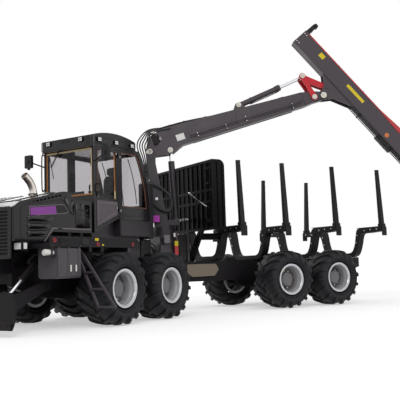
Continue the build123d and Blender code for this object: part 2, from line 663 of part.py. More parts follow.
# Headboard: ribbed sheet in a frame of bars, side wings of upright tubes, and two splayed legs
GATE_BACK = GATE_X - GATE_THICK
GATE_MIDDLE = (GATE_X + GATE_BACK) / 2
GATE_PITCH = 2 * GATE_PANEL_HALF / (GATE_RIB_COUNT + 1)
WING_PITCH = (GATE_WING - GATE_BAR) / (GATE_WING_TUBES - 1)
GATE_HEIGHT = GATE_TOP - GATE_BOTTOM
with BuildPart() as headboard:
    with Locations((GATE_MIDDLE, 0, GATE_BOTTOM)):
        Box(GATE_SHEET, 2 * GATE_PANEL_HALF, GATE_HEIGHT, align=(Align.CENTER, Align.CENTER, Align.MIN))
    for rib in range(GATE_RIB_COUNT):
        with Locations((GATE_MIDDLE, (rib + 1) * GATE_PITCH - GATE_PANEL_HALF, GATE_BOTTOM)):
            Box(GATE_THICK * 0.8, GATE_RIB, GATE_HEIGHT, align=(Align.CENTER, Align.CENTER, Align.MIN))
    for side in (1, -1):
        with Locations((GATE_MIDDLE, side * GATE_PANEL_HALF, GATE_BOTTOM)):
            Box(GATE_THICK, GATE_BAR, GATE_HEIGHT, align=(Align.CENTER, Align.CENTER, Align.MIN))
        with BuildSketch(upright(max(side * GATE_HALF_WIDTH, side * (GATE_HALF_WIDTH - GATE_WING_THICK)))):
            with BuildLine():
                Polyline((GATE_X - GATE_WING, GATE_TOP - GATE_WING_ROUND), (GATE_X - GATE_WING, GATE_BOTTOM),
                         (GATE_X, GATE_BOTTOM), (GATE_X, GATE_TOP), (GATE_X - GATE_WING + GATE_WING_ROUND, GATE_TOP))
                ThreePointArc((GATE_X - GATE_WING + GATE_WING_ROUND, GATE_TOP),
                              (GATE_X - GATE_WING + 0.293 * GATE_WING_ROUND, GATE_TOP - 0.293 * GATE_WING_ROUND),
                              (GATE_X - GATE_WING, GATE_TOP - GATE_WING_ROUND))
            make_face()
            for tube in range(GATE_WING_TUBES - 1):
                with Locations((GATE_X - GATE_BAR / 2 - (tube + 0.5) * WING_PITCH, (GATE_BOTTOM + GATE_TOP) / 2)):
                    RectangleRounded(WING_PITCH - GATE_BAR, GATE_HEIGHT - 2 * GATE_BAR, (WING_PITCH - GATE_BAR) / 3, mode=Mode.SUBTRACT)
        extrude(amount=GATE_WING_THICK)
        with BuildSketch(Plane.YZ.offset(GATE_BACK)):
            outline((
                (side * GATE_LEG_FOOT[0], BUNK_LOW),
                (side * GATE_LEG_FOOT[1], BUNK_LOW),
                (side * GATE_LEG_HEAD[1], GATE_BOTTOM + GATE_BAR),
                (side * GATE_LEG_HEAD[0], GATE_BOTTOM + GATE_BAR),
            ))
        extrude(amount=GATE_THICK)
        with Locations((GATE_X, side * GATE_TIE_Y, GATE_TIE_LOW)):
            Box(GATE_X - BUNK_X[0] - BUNK_THICK / 2 - SEAT_GAP, GATE_TIE_WIDE, GATE_TIE_HIGH - GATE_TIE_LOW,
                align=(Align.MAX, Align.CENTER, Align.MIN))
    for height in (GATE_BOTTOM + GATE_BAR / 2, *GATE_RAILS, GATE_TOP - GATE_BAR / 2):
        with Locations((GATE_MIDDLE, 0, height)):
            Box(GATE_THICK, 2 * GATE_HALF_WIDTH, GATE_BAR)
finish("headboard", headboard.part, REAR)

# Crane base on the rear frame, straight under the column
with BuildPart() as crane_base:
    with BuildSketch(Plane.XY.offset(BUNK_LOW)):
        with Locations((CRANE_X - 60, 0)):
            Rectangle(2 * CRANE_BASE_HALF - 100, 2 * CRANE_BASE_HALF)
    with BuildSketch(Plane.XY.offset(CRANE_BASE_TOP - CRANE_BEARING)):
        with Locations((CRANE_X, 0)):
            Rectangle(2 * COLUMN_RADIUS, 2 * COLUMN_RADIUS)
    loft()
    with Locations((CRANE_X, 0, CRANE_BASE_TOP - CRANE_BEARING)):
        Cylinder(COLUMN_RADIUS + 30, CRANE_BEARING, align=(Align.CENTER, Align.CENTER, Align.MIN))
finish("crane_base", crane_base.part, REAR)

# Crane pins and the plates either side of them
PIN_BORE = CRANE_PIN_RADIUS + PIN_CLEARANCE
BOOM_CHEEK = BOOM_HALF_WIDTH + SIDE_GAP
COLUMN_CHEEK = 40.0
PIN_CAP = 12.0

# Column: slewing foot, leaning post, and cheeks either side of the boom and of the lift cylinder
LIFT_FOOT_HALF = BARREL_RADIUS + 6.0
LIFT_CHEEK = LIFT_FOOT_HALF + SIDE_GAP
with BuildPart() as column:
    with BuildSketch(Plane.XY.offset(CRANE_BASE_TOP + COLUMN_SWING_GAP)):
        Circle(COLUMN_RADIUS)
    extrude(amount=COLUMN_FLANGE)
    with BuildSketch(Plane.XY.offset(CRANE_BASE_TOP + COLUMN_SWING_GAP + COLUMN_FLANGE)):
        with Locations((-40, 0)):
            Rectangle(340, 400)
    with BuildSketch(Plane.XY.offset(BOOM_PIN[1] - 260)):
        with Locations((BOOM_PIN[0] + 25, 0)):
            Rectangle(190, 2 * (BOOM_CHEEK + COLUMN_CHEEK))
    loft()
    for side in (1, -1):
        cheek = upright(side * (BOOM_CHEEK + COLUMN_CHEEK / 2) + COLUMN_CHEEK / 2)
        with BuildSketch(cheek):
            with Locations(BOOM_PIN):
                Circle(105)
            with Locations((BOOM_PIN[0] + 25, BOOM_PIN[1] - 150)):
                Rectangle(190, 300)
        extrude(amount=COLUMN_CHEEK)
        foot = upright(side * (LIFT_CHEEK + COLUMN_CHEEK / 2) + COLUMN_CHEEK / 2)
        with BuildSketch(foot):
            with Locations(LIFT_FOOT):
                Circle(85)
            with Locations((LIFT_FOOT[0] / 2, LIFT_FOOT[1] - 20)):
                Rectangle(LIFT_FOOT[0], 130)
        extrude(amount=COLUMN_CHEEK)
    with Locations(leaning(BOOM_PIN) * Location((0, 0, 0), (90, 0, 0))):
        Cylinder(CRANE_PIN_RADIUS, 2 * (BOOM_CHEEK + COLUMN_CHEEK + PIN_CAP))
    with Locations(leaning(LIFT_FOOT) * Location((0, 0, 0), (90, 0, 0))):
        Cylinder(CRANE_PIN_RADIUS, 2 * (LIFT_CHEEK + COLUMN_CHEEK + PIN_CAP))
finish("crane_column", column.part, CRANE)

# Lateral places of what shares a crane pin, from the middle outwards
EYE_HALF = 50.0                          # cylinder eyes
SLOT_HALF = EYE_HALF + SIDE_GAP          # slots that they sit in
PULL_INNER = SLOT_HALF                   # pull link plates
PULL_OUTER = PULL_INNER + 38.0
JIB_CHEEK_INNER = PULL_OUTER + SIDE_GAP  # outer boom's cheeks
JIB_CHEEK_OUTER = JIB_CHEEK_INNER + LINK_PLATE
ROCKER_INNER = BOOM_HALF_WIDTH + SIDE_GAP
ROCKER_OUTER = ROCKER_INNER + LINK_PLATE
EYE_RADIUS = 78.0
JIB_EYE_RADIUS = 60.0
JIB_BARREL_RADIUS = 66.0
JIB_FOOT_HALF = JIB_BARREL_RADIUS + 6.0
JIB_EAR_OUTER = JIB_FOOT_HALF + SIDE_GAP + 36.0


def cross_pin(point, half_length, radius=CRANE_PIN_RADIUS, mode=Mode.ADD):
    """A pin or a bore along Y through a point of the plane of movement."""
    with Locations(leaning(point) * Location((0, 0, 0), (90, 0, 0))):
        Cylinder(radius, 2 * half_length, mode=mode)


def side_caps(point, inner, outer, radius=CRANE_PIN_RADIUS + 18.0):
    """Round caps on both outer faces of a piece, over a pin's ends."""
    for side in (1, -1):
        with Locations(Location((point[0], side * (inner + outer) / 2, point[1]), (90, 0, 0))):
            Cylinder(radius, outer - inner)


# Main boom along its own X, from the boom pin to the elbow
ELBOW_LUG = PULL_OUTER
with BuildPart() as boom:
    with BuildSketch(upright(BOOM_HALF_WIDTH)):
        with BuildLine():
            Polyline(
                (-60, -95),
                (60, -130),
                (LIFT_EYE[0] - 70, LIFT_EYE[1] - 80),
                (LIFT_EYE[0] + 60, LIFT_EYE[1] - 75),
                (LIFT_EYE[0] + 330, -80),
                (BOOM_LENGTH - 500, -100),
                (BOOM_LENGTH - 290, -80),
                (BOOM_LENGTH - 290, 150),
                (BOOM_LENGTH - 480, 240),
                (1124, 403),
                (450, 440),
                (60, 330),
                (-110, 20),
                close=True,
            )
        make_face()
    extrude(amount=2 * BOOM_HALF_WIDTH)
    with BuildSketch(upright(BOOM_HALF_WIDTH)):
        with Locations(ROCKER_FOOT):
            Circle(105)
    extrude(amount=2 * BOOM_HALF_WIDTH)
    with BuildSketch(upright(ELBOW_LUG)):
        with BuildLine():
            Polyline(
                (BOOM_LENGTH - 320, -80),
                (BOOM_LENGTH - 40, -85),
                (BOOM_LENGTH + 85, 0),
                (BOOM_LENGTH - 20, 85),
                (BOOM_LENGTH - 320, 130),
                close=True,
            )
        make_face()
    extrude(amount=2 * ELBOW_LUG)
    with BuildSketch(upright(JIB_EAR_OUTER)):
        with BuildLine():
            Polyline(
                (JIB_CYLINDER_FOOT[0] - 190, 290),
                (JIB_CYLINDER_FOOT[0] + 160, 270),
                (JIB_CYLINDER_FOOT[0] + 60, JIB_CYLINDER_FOOT[1] + 55),
                (JIB_CYLINDER_FOOT[0] - 60, JIB_CYLINDER_FOOT[1] + 55),
                close=True,
            )
        make_face()
    extrude(amount=2 * JIB_EAR_OUTER)
    with Locations((JIB_CYLINDER_FOOT[0], 0, JIB_CYLINDER_FOOT[1])):
        Box(420, 2 * (JIB_FOOT_HALF + SIDE_GAP), 2 * (EYE_RADIUS + SIDE_GAP), mode=Mode.SUBTRACT)
    with Locations((LIFT_EYE[0] - 40, 0, LIFT_EYE[1] - 20)):
        Box(430, 2 * SLOT_HALF, 2 * (EYE_RADIUS + 30), mode=Mode.SUBTRACT)
    cross_pin((0, 0), BOOM_HALF_WIDTH, PIN_BORE, Mode.SUBTRACT)
    cross_pin((BOOM_LENGTH, 0), BOOM_HALF_WIDTH, PIN_BORE, Mode.SUBTRACT)
    cross_pin(JIB_CYLINDER_FOOT, JIB_EAR_OUTER + PIN_CAP)
    cross_pin(ROCKER_FOOT, ROCKER_OUTER + PIN_CAP)
    side_caps(LIFT_EYE, BOOM_HALF_WIDTH, BOOM_HALF_WIDTH + PIN_CAP)
finish("crane_boom", boom.part, BOOM)


def barrel_part(length, radius, rod_radius, eye_half, eye_radius, pin_radius):
    """A cylinder barrel along its own X, its foot eye at the origin, bored for its rod."""
    with BuildPart() as barrel:
        with BuildSketch(Plane.YZ.offset(eye_radius * 0.6)):
            Circle(radius)
        extrude(amount=length - eye_radius * 0.6)
        with BuildSketch(upright(eye_half)):
            Circle(eye_radius)
        extrude(amount=2 * eye_half)
        cross_pin((0, 0), eye_half + 1, pin_radius + PIN_CLEARANCE, Mode.SUBTRACT)
        with BuildSketch(Plane.YZ.offset(length)):
            Circle(rod_radius + ROD_CLEARANCE)
        extrude(amount=-(length - eye_radius - 40), mode=Mode.SUBTRACT)
    return barrel.part


def rod_part(length, inner_end, rod_radius, eye_half, eye_radius):
    """A cylinder rod along the barrel's X, from its inner end to the eye over the pin it was opened at."""
    with BuildPart() as rod:
        with BuildSketch(Plane.YZ.offset(inner_end)):
            Circle(rod_radius)
        extrude(amount=length - inner_end)
        with BuildSketch(upright(eye_half)):
            with Locations((length, 0)):
                Circle(eye_radius)
        extrude(amount=2 * eye_half)
    return rod.part


# Lift cylinder between the column and the boom, and jib cylinder between the boom and the rocker
LIFT_SPAN = span(LIFT_FOOT, LIFT_HEAD)
LIFT_BARREL = 1430.0
LIFT_ROD_END = 420.0
LIFT = CRANE * leaning(LIFT_FOOT, rise(LIFT_FOOT, LIFT_HEAD))
lift_barrel = barrel_part(LIFT_BARREL, BARREL_RADIUS, ROD_RADIUS, LIFT_FOOT_HALF, EYE_RADIUS, CRANE_PIN_RADIUS)
finish("lift_barrel", lift_barrel, LIFT)
finish("lift_rod", rod_part(LIFT_SPAN, LIFT_ROD_END, ROD_RADIUS, EYE_HALF, EYE_RADIUS), LIFT)

JIB_SPAN = span(JIB_FOOT, ROCKER_TOP)
JIB_BARREL = 1080.0
JIB_ROD_END = 560.0
JIB_ACTUATOR = CRANE * leaning(JIB_FOOT, rise(JIB_FOOT, ROCKER_TOP))
jib_barrel = barrel_part(JIB_BARREL, JIB_BARREL_RADIUS, ROD_RADIUS, JIB_FOOT_HALF, JIB_EYE_RADIUS, CRANE_PIN_RADIUS)
finish("jib_barrel", jib_barrel, JIB_ACTUATOR)
finish("jib_rod", rod_part(JIB_SPAN, JIB_ROD_END, ROD_RADIUS, EYE_HALF, JIB_EYE_RADIUS), JIB_ACTUATOR)

ROCKER_LENGTH = span(ROCKER_LOW, ROCKER_TOP)
ROCKER = CRANE * leaning(ROCKER_LOW, rise(ROCKER_LOW, ROCKER_TOP))
with BuildPart() as rocker:
    with BuildSketch(upright(ROCKER_OUTER)):
        with BuildLine():
            Polyline((0, 75), (ROCKER_LENGTH * 0.5, 45), (ROCKER_LENGTH, 75), (ROCKER_LENGTH, -75),
                     (ROCKER_LENGTH * 0.5, -45), (0, -75), close=True)
        make_face()
        with Locations((0, 0), (ROCKER_LENGTH, 0)):
            Circle(75)
        Circle(PIN_BORE, mode=Mode.SUBTRACT)
    extrude(amount=LINK_PLATE)
    with BuildSketch(upright(ROCKER_OUTER + PIN_CAP)):
        with Locations((ROCKER_LENGTH, 0)):
            Circle(CRANE_PIN_RADIUS)
    extrude(amount=ROCKER_OUTER + PIN_CAP - PULL_OUTER - SIDE_GAP)
    mirror(about=Plane.XZ)
finish("jib_rocker", rocker.part, ROCKER)

PULL_LENGTH = span(LINK_LOW, ROCKER_TOP)
PULL = CRANE * leaning(LINK_LOW, rise(LINK_LOW, ROCKER_TOP))
with BuildPart() as pull_link:
    with BuildSketch(upright(PULL_OUTER)):
        with BuildLine():
            Polyline((0, 62), (PULL_LENGTH * 0.6, 85), (PULL_LENGTH, 62), (PULL_LENGTH, -62), (0, -62), close=True)
        make_face()
        with Locations((0, 0), (PULL_LENGTH, 0)):
            Circle(62)
        Circle(PIN_BORE, mode=Mode.SUBTRACT)
    extrude(amount=PULL_OUTER - PULL_INNER)
    mirror(about=Plane.XZ)
finish("pull_link", pull_link.part, PULL)

# Outer boom along its own X, the elbow at the origin: a tube with cheeks under it
JIB_DEPTH = JIB_TOP - JIB_BOTTOM
JIB_MIDDLE = (JIB_TOP + JIB_BOTTOM) / 2
EXTENSION_HALF = JIB_HALF_WIDTH - JIB_WALL - SLIDE_GAP
EXTENSION_DEPTH = JIB_DEPTH - 2 * (JIB_WALL + SLIDE_GAP)
with BuildPart() as jib:
    with BuildSketch(Plane.YZ.offset(JIB_BACK)):
        with Locations((0, JIB_MIDDLE)):
            Rectangle(2 * JIB_HALF_WIDTH, JIB_DEPTH)
    extrude(amount=JIB_FRONT - JIB_BACK)
    with BuildSketch(Plane.YZ.offset(JIB_FRONT - JIB_PAD)):
        with Locations((0, JIB_MIDDLE)):
            Rectangle(2 * (JIB_HALF_WIDTH - JIB_WALL), JIB_DEPTH - 2 * JIB_WALL)
    extrude(amount=-(JIB_FRONT - JIB_PAD - JIB_BACK - JIB_WALL), mode=Mode.SUBTRACT)
    with BuildSketch(Plane.YZ.offset(JIB_FRONT)):
        with Locations((0, JIB_MIDDLE)):
            Rectangle(2 * (EXTENSION_HALF + SEAT_GAP), EXTENSION_DEPTH + 2 * SEAT_GAP)
    extrude(amount=-JIB_PAD, mode=Mode.SUBTRACT)
    with BuildSketch(upright(JIB_CHEEK_OUTER)):
        with BuildLine():
            Polyline(
                (-430, JIB_BOTTOM + 20),
                (-170, 190),
                (-80, -60),
                (60, -85),
                (200, 120),
                (760, JIB_BOTTOM + 20),
                close=True,
            )
        make_face()
        with Locations((0, 0)):
            Circle(95)
    extrude(amount=LINK_PLATE)
    mirror(about=Plane.XZ)
    cross_pin((0, 0), JIB_CHEEK_OUTER + PIN_CAP)
    cross_pin(JIB_LINK_EYE, JIB_CHEEK_OUTER + PIN_CAP)
finish("outer_boom", jib.part, JIB)

# Extension inside the outer boom, with the fork at its tip
EXTENSION_BACK = 300.0
FORK_HALF = 55.0
with BuildPart() as extension:
    with BuildSketch(Plane.YZ.offset(EXTENSION_BACK)):
        with Locations((0, JIB_MIDDLE)):
            Rectangle(2 * EXTENSION_HALF, EXTENSION_DEPTH)
    extrude(amount=JIB_FRONT + 120 - EXTENSION_BACK)
    with BuildSketch(upright(EXTENSION_HALF)):
        with BuildLine():
            Polyline(
                (JIB_FRONT + 100, JIB_MIDDLE + EXTENSION_DEPTH / 2),
                (JIB_FRONT + 200, JIB_MIDDLE + EXTENSION_DEPTH / 2),
                (TIP_X + 40, TIP_Z + 95),
                (TIP_X + 95, TIP_Z),
                (TIP_X, TIP_Z - 95),
                (JIB_FRONT + 100, JIB_MIDDLE - EXTENSION_DEPTH / 2),
                close=True,
            )
        make_face()
    extrude(amount=2 * EXTENSION_HALF)
    with Locations((TIP_X, 0, TIP_Z)):
        Box(420, 2 * (FORK_HALF + SIDE_GAP), 700, mode=Mode.SUBTRACT)
    cross_pin((TIP_X, TIP_Z), EXTENSION_HALF + PIN_CAP)
finish("extension", extension.part, JIB)

# Tip link, hanging straight down from the fork: the grapple's frame has its origin at the tip pin
HANG = CRANE * leaning(TIP)
with BuildPart() as tip_link:
    with BuildSketch(upright(FORK_HALF)):
        Circle(85)
        with Locations((0, -LINK_LENGTH / 2)):
            Rectangle(120, LINK_LENGTH)
        Circle(PIN_BORE, mode=Mode.SUBTRACT)
    extrude(amount=2 * FORK_HALF)
    with BuildSketch(Plane.XY.offset(-LINK_LENGTH)):
        Circle(ROTATOR_RADIUS)
    extrude(amount=80)
finish("tip_link", tip_link.part, HANG)

# Rotator with the grapple's head, turning under the tip link
ROTATOR_TOP = -LINK_LENGTH - SEAT_GAP
HEAD_LOW = ROTATOR_TOP - ROTATOR_HEIGHT
with BuildPart() as rotator:
    with BuildSketch(Plane.XY.offset(ROTATOR_TOP)):
        Circle(ROTATOR_RADIUS)
    extrude(amount=-ROTATOR_HEIGHT)
    for side in (1, -1):
        with BuildSketch(upright(max(side * 75, side * 105))):
            with BuildLine():
                Polyline((-CLAW_PIVOT - 70, HEAD_LOW - 130), (-CLAW_PIVOT - 70, HEAD_LOW - 30), (-110, HEAD_LOW + 60),
                         (110, HEAD_LOW + 60), (CLAW_PIVOT + 70, HEAD_LOW - 30), (CLAW_PIVOT + 70, HEAD_LOW - 130), close=True)
            make_face()
        extrude(amount=30)
    for side in (1, -1):
        cross_pin((side * CLAW_PIVOT, HEAD_LOW - CLAW_PIVOT_DROP), 105 + PIN_CAP, CLAW_PIN)
finish("rotator", rotator.part, HANG)


def claw_part(side):
    """One claw of the grapple: two curved tines with a cross plate, hinged under the head."""
    top = HEAD_LOW - CLAW_PIVOT_DROP
    with BuildPart() as claw:
        with BuildSketch(upright(69)):
            with BuildLine():
                outer = ThreePointArc((side * (CLAW_PIVOT + 60), top), (side * CLAW_REACH, top - 330), (side * 30, top - CLAW_DROP))
                Line(outer @ 1, (side * 12, top - CLAW_DROP + 70))
                inner = ThreePointArc((side * 12, top - CLAW_DROP + 70), (side * (CLAW_REACH - 110), top - 330), (side * (CLAW_PIVOT - 60), top))
                Line(inner @ 1, outer @ 0)
            make_face()
            with Locations((side * CLAW_PIVOT, top)):
                Circle(60)
                Circle(CLAW_PIN + PIN_CLEARANCE, mode=Mode.SUBTRACT)
        extrude(amount=138)
    return claw.part


finish("claw_outer", claw_part(1), HANG)
finish("claw_inner", claw_part(-1), HANG)

# Side view of the cab, its rear edge bowed
with BuildSketch(Plane.XY, mode=Mode.PRIVATE) as cab_side:
    with BuildLine():
        ThreePointArc((CAB_REAR_TOP_X, CAB_TOP), CAB_REAR_BOW, CAB_REAR_LOW)
        Polyline(CAB_REAR_LOW, (CAB_REAR_LOW[0], CAB_REAR_FLOOR), (CAB_STEP_X, CAB_REAR_FLOOR),
                 (CAB_FRONT_X, CAB_FRONT_FLOOR), (CAB_FRONT_X, CAB_TOP), (CAB_REAR_TOP_X, CAB_TOP))
    make_face()


def underside(x):
    """Height of the cab's sloping underside in front of the step."""
    return CAB_REAR_FLOOR + (CAB_FRONT_FLOOR - CAB_REAR_FLOOR) * (x - CAB_STEP_X) / (CAB_FRONT_X - CAB_STEP_X)


DOOR_FRONT = CAB_FRONT_X - DOOR_EDGE
DOOR_TOP = CAB_TOP - DOOR_EDGE
DOOR_OUTLINE = (
    (DOOR_REAR, DOOR_TOP),
    (DOOR_FRONT, DOOR_TOP),
    (DOOR_FRONT, underside(DOOR_FRONT) + DOOR_EDGE),
    (DOOR_REAR, underside(DOOR_REAR) + DOOR_EDGE),
)
DOOR_WINDOW = (
    (DOOR_REAR + DOOR_FRAME, DOOR_TOP - DOOR_FRAME),
    (DOOR_FRONT - DOOR_FRAME, DOOR_TOP - DOOR_FRAME),
    (DOOR_FRONT - DOOR_FRAME, DOOR_WINDOW_LOW),
    (DOOR_REAR + DOOR_FRAME, DOOR_WINDOW_LOW),
)
SCREEN_HALF = CAB_HALF_WIDTH - PILLAR
DOOR_HINGE_X = DOOR_REAR - 8.0
DOOR_HINGE_Y = CAB_HALF_WIDTH + HINGE_OUTSIDE
HINGE_RADIUS = HINGE_OUTSIDE - 2.0


def between(shape, low, high):
    """What of a side view lies between two corners."""
    with BuildSketch(Plane.XY, mode=Mode.PRIVATE) as sketch:
        add(shape)
        with Locations(low):
            Rectangle(high[0] - low[0], high[1] - low[1], align=Align.MIN, mode=Mode.INTERSECT)
    return sketch.sketch


REAR_SIDE_WINDOW = between(shrunk(cab_side.sketch, SIDE_WINDOW_EDGE), (0, SIDE_WINDOW_LOW),
                           (DOOR_REAR - DOOR_PILLAR, SIDE_WINDOW_HIGH))
PANE_INSET = (CAB_WALL - GLASS) / 2

# Cab shell: a hollow box with its door and windows cut, and the fixed halves of the door's hinges
with BuildPart() as cab:
    with BuildSketch(upright(CAB_HALF_WIDTH)):
        add(cab_side.sketch)
    extrude(amount=2 * CAB_HALF_WIDTH)
    with BuildSketch(upright(CAB_HALF_WIDTH - CAB_WALL)):
        add(shrunk(cab_side.sketch, CAB_WALL))
    extrude(amount=2 * (CAB_HALF_WIDTH - CAB_WALL), mode=Mode.SUBTRACT)
    with BuildSketch(upright(CAB_HALF_WIDTH + 1)):
        outline(DOOR_OUTLINE)
    extrude(amount=CAB_WALL + 2, mode=Mode.SUBTRACT)
    with BuildSketch(upright(CAB_WALL + 1 - CAB_HALF_WIDTH)):
        outline(DOOR_WINDOW)
    extrude(amount=CAB_WALL + 2, mode=Mode.SUBTRACT)
    with BuildSketch(upright(CAB_HALF_WIDTH + 1)):
        add(REAR_SIDE_WINDOW)
    extrude(amount=2 * CAB_HALF_WIDTH + 2, mode=Mode.SUBTRACT)
    with Locations((CAB_FRONT_X, 0, SCREEN_LOW)):
        Box(3 * CAB_WALL, 2 * SCREEN_HALF, SCREEN_HIGH - SCREEN_LOW,
            align=(Align.CENTER, Align.CENTER, Align.MIN), mode=Mode.SUBTRACT)
    with Locations((CAB_REAR_LOW[0] - 1, 0, REAR_WINDOW_LOW)):
        Box(SIDE_WINDOW_EDGE + 3 * CAB_WALL + CAB_REAR_TOP_X - CAB_REAR_LOW[0], 2 * SCREEN_HALF - 2 * CAB_WALL,
            SCREEN_HIGH - REAR_WINDOW_LOW, align=(Align.MIN, Align.CENTER, Align.MIN), mode=Mode.SUBTRACT)
    for height in HINGE_HEIGHTS:
        with BuildSketch(Plane.XY.offset(height - HINGE_KNUCKLE)):
            with Locations((DOOR_HINGE_X, DOOR_HINGE_Y)):
                Circle(HINGE_RADIUS)
            with Locations((DOOR_HINGE_X, CAB_HALF_WIDTH - 1)):
                Rectangle(HINGE_STRAP, HINGE_STRAP_THICK + 1, align=(Align.MAX, Align.MIN))
        extrude(amount=HINGE_KNUCKLE - 1)
        with Locations((DOOR_HINGE_X, DOOR_HINGE_Y, height - HINGE_KNUCKLE / 2)):
            Cylinder(HINGE_PIN, 1.5 * HINGE_KNUCKLE, align=(Align.CENTER, Align.CENTER, Align.MIN))
finish("cab_shell", cab.part, FRONT)

# Fixed panes, set in the middle of their walls
with BuildPart() as cab_glass:
    with Locations((CAB_FRONT_X - PANE_INSET, 0, SCREEN_LOW + SEAT_GAP)):
        Box(GLASS, 2 * (SCREEN_HALF - SEAT_GAP), SCREEN_HIGH - SCREEN_LOW - 2 * SEAT_GAP,
            align=(Align.MAX, Align.CENTER, Align.MIN))
    with BuildSketch(upright(SCREEN_HALF - CAB_WALL - SEAT_GAP)):
        add(between(shrunk(cab_side.sketch, PANE_INSET), (0, REAR_WINDOW_LOW + SEAT_GAP),
                    (CAB_STEP_X, SCREEN_HIGH - SEAT_GAP)))
        add(shrunk(cab_side.sketch, PANE_INSET + GLASS), mode=Mode.SUBTRACT)
    extrude(amount=2 * (SCREEN_HALF - CAB_WALL - SEAT_GAP))
    for side in (1, -1):
        with BuildSketch(upright(side * (CAB_HALF_WIDTH - CAB_WALL / 2) + GLASS / 2)):
            add(shrunk(REAR_SIDE_WINDOW, SEAT_GAP))
        extrude(amount=GLASS)
    with BuildSketch(upright(GLASS / 2 + CAB_WALL / 2 - CAB_HALF_WIDTH)):
        add(shrunk(Polygon(*DOOR_WINDOW, align=None, mode=Mode.PRIVATE), SEAT_GAP))
    extrude(amount=GLASS)
finish("cab_glass", cab_glass.part, FRONT)

with BuildPart() as door:
    with BuildSketch(upright(CAB_HALF_WIDTH)):
        add(shrunk(Polygon(*DOOR_OUTLINE, align=None, mode=Mode.PRIVATE), DOOR_GAP))
    extrude(amount=CAB_WALL)
    with BuildSketch(upright(CAB_HALF_WIDTH)):
        outline(DOOR_WINDOW)
    extrude(amount=CAB_WALL, mode=Mode.SUBTRACT)
    for height in HINGE_HEIGHTS:
        with BuildSketch(Plane.XY.offset(height)):
            with Locations((DOOR_HINGE_X, DOOR_HINGE_Y)):
                Circle(HINGE_RADIUS)
            with Locations((DOOR_HINGE_X, CAB_HALF_WIDTH + 1)):
                Rectangle(HINGE_STRAP, HINGE_STRAP_THICK, align=(Align.MIN, Align.MIN))
            with Locations((DOOR_HINGE_X + HINGE_STRAP, CAB_HALF_WIDTH - 1)):
                Rectangle(HINGE_STRAP - 30, HINGE_STRAP_THICK, align=(Align.MAX, Align.MIN))
            with Locations((DOOR_HINGE_X, DOOR_HINGE_Y)):
                Circle(HINGE_PIN + PIN_CLEARANCE, mode=Mode.SUBTRACT)
        extrude(amount=HINGE_KNUCKLE)
finish("cab_door", door.part, FRONT)

with BuildPart() as door_glass:
    with BuildSketch(upright(CAB_HALF_WIDTH - CAB_WALL / 2 + GLASS / 2)):
        add(shrunk(Polygon(*DOOR_WINDOW, align=None, mode=Mode.PRIVATE), SEAT_GAP))
    extrude(amount=GLASS)
finish("door_glass", door_glass.part, FRONT)

# Roof with the deep band of its visor hanging before the windscreen, round-cornered in plan
ROOF_LOW = CAB_TOP + SEAT_GAP
ROOF_MIDDLE = (ROOF_BACK + ROOF_FRONT) / 2
with BuildPart() as roof:
    with BuildSketch(upright(ROOF_HALF_WIDTH)):
        with BuildLine():
            Polyline((ROOF_BACK, ROOF_EDGE_TOP), (ROOF_BACK, ROOF_LOW), (CAB_FRONT_X + VISOR_GAP, ROOF_LOW),
                     (CAB_FRONT_X + VISOR_GAP, VISOR_LOW), (ROOF_FRONT, VISOR_LOW), (ROOF_FRONT, ROOF_EDGE_TOP))
            ThreePointArc((ROOF_FRONT, ROOF_EDGE_TOP), (ROOF_MIDDLE, ROOF_CROWN), (ROOF_BACK, ROOF_EDGE_TOP))
        make_face()
    extrude(amount=2 * ROOF_HALF_WIDTH)
    uprights = roof.edges().filter_by(Axis.Z).group_by(Axis.X)
    fillet(uprights[0] + uprights[-1], ROOF_ROUND)
finish("cab_roof", roof.part, FRONT)

# Work lamps on the visor's front and on the roof's left and right sides
LAMP_WIDTH, LAMP_HEIGHT, LAMP_DEPTH = ROOF_LAMP
LAMP_Z = (VISOR_LOW + ROOF_EDGE_TOP) / 2 + LAMP_HEIGHT / 2
with BuildPart() as roof_lamps:
    for y in (-0.62 * ROOF_HALF_WIDTH, 0.62 * ROOF_HALF_WIDTH):
        with Locations((ROOF_FRONT + SEAT_GAP, y, LAMP_Z)):
            Box(LAMP_DEPTH, LAMP_WIDTH, LAMP_HEIGHT, align=(Align.MIN, Align.CENTER, Align.CENTER))
    for side in (1, -1):
        for x in (ROOF_FRONT - 1.5 * ROOF_ROUND - LAMP_WIDTH / 2, ROOF_MIDDLE, ROOF_BACK + 1.5 * ROOF_ROUND + LAMP_WIDTH / 2):
            with Locations((x, side * (ROOF_HALF_WIDTH + SEAT_GAP + LAMP_DEPTH / 2), LAMP_Z)):
                Box(LAMP_WIDTH, LAMP_DEPTH, LAMP_HEIGHT)
    fillet(roof_lamps.edges().filter_by(Axis.Z, reverse=True), 8)
finish("roof_lamps", roof_lamps.part, FRONT)

# Mirrors on bent arms from the cab's front pillars
with BuildPart() as mirrors:
    for side, x in zip((1, -1), MIRROR_X):
        foot = (CAB_FRONT_X - DOOR_EDGE / 2, side * (CAB_HALF_WIDTH + SEAT_GAP), MIRROR_HEIGHT - MIRROR_SIZE[2] / 2)
        head = (x, side * MIRROR_Y, MIRROR_HEIGHT)
        reach = Vector(*head) - Vector(*foot)
        with BuildSketch(Plane(origin=foot, x_dir=(1, 0, 0), z_dir=(0, side, 0))):
            Circle(MIRROR_ARM)
        with BuildSketch(Plane(origin=head, x_dir=(1, 0, 0), z_dir=(0, side, 0))):
            Circle(MIRROR_ARM)
        loft()
        with Locations(head):
            Box(*MIRROR_SIZE)
    fillet(mirrors.edges().filter_by(Axis.X), 25)
finish("mirrors", mirrors.part, FRONT)

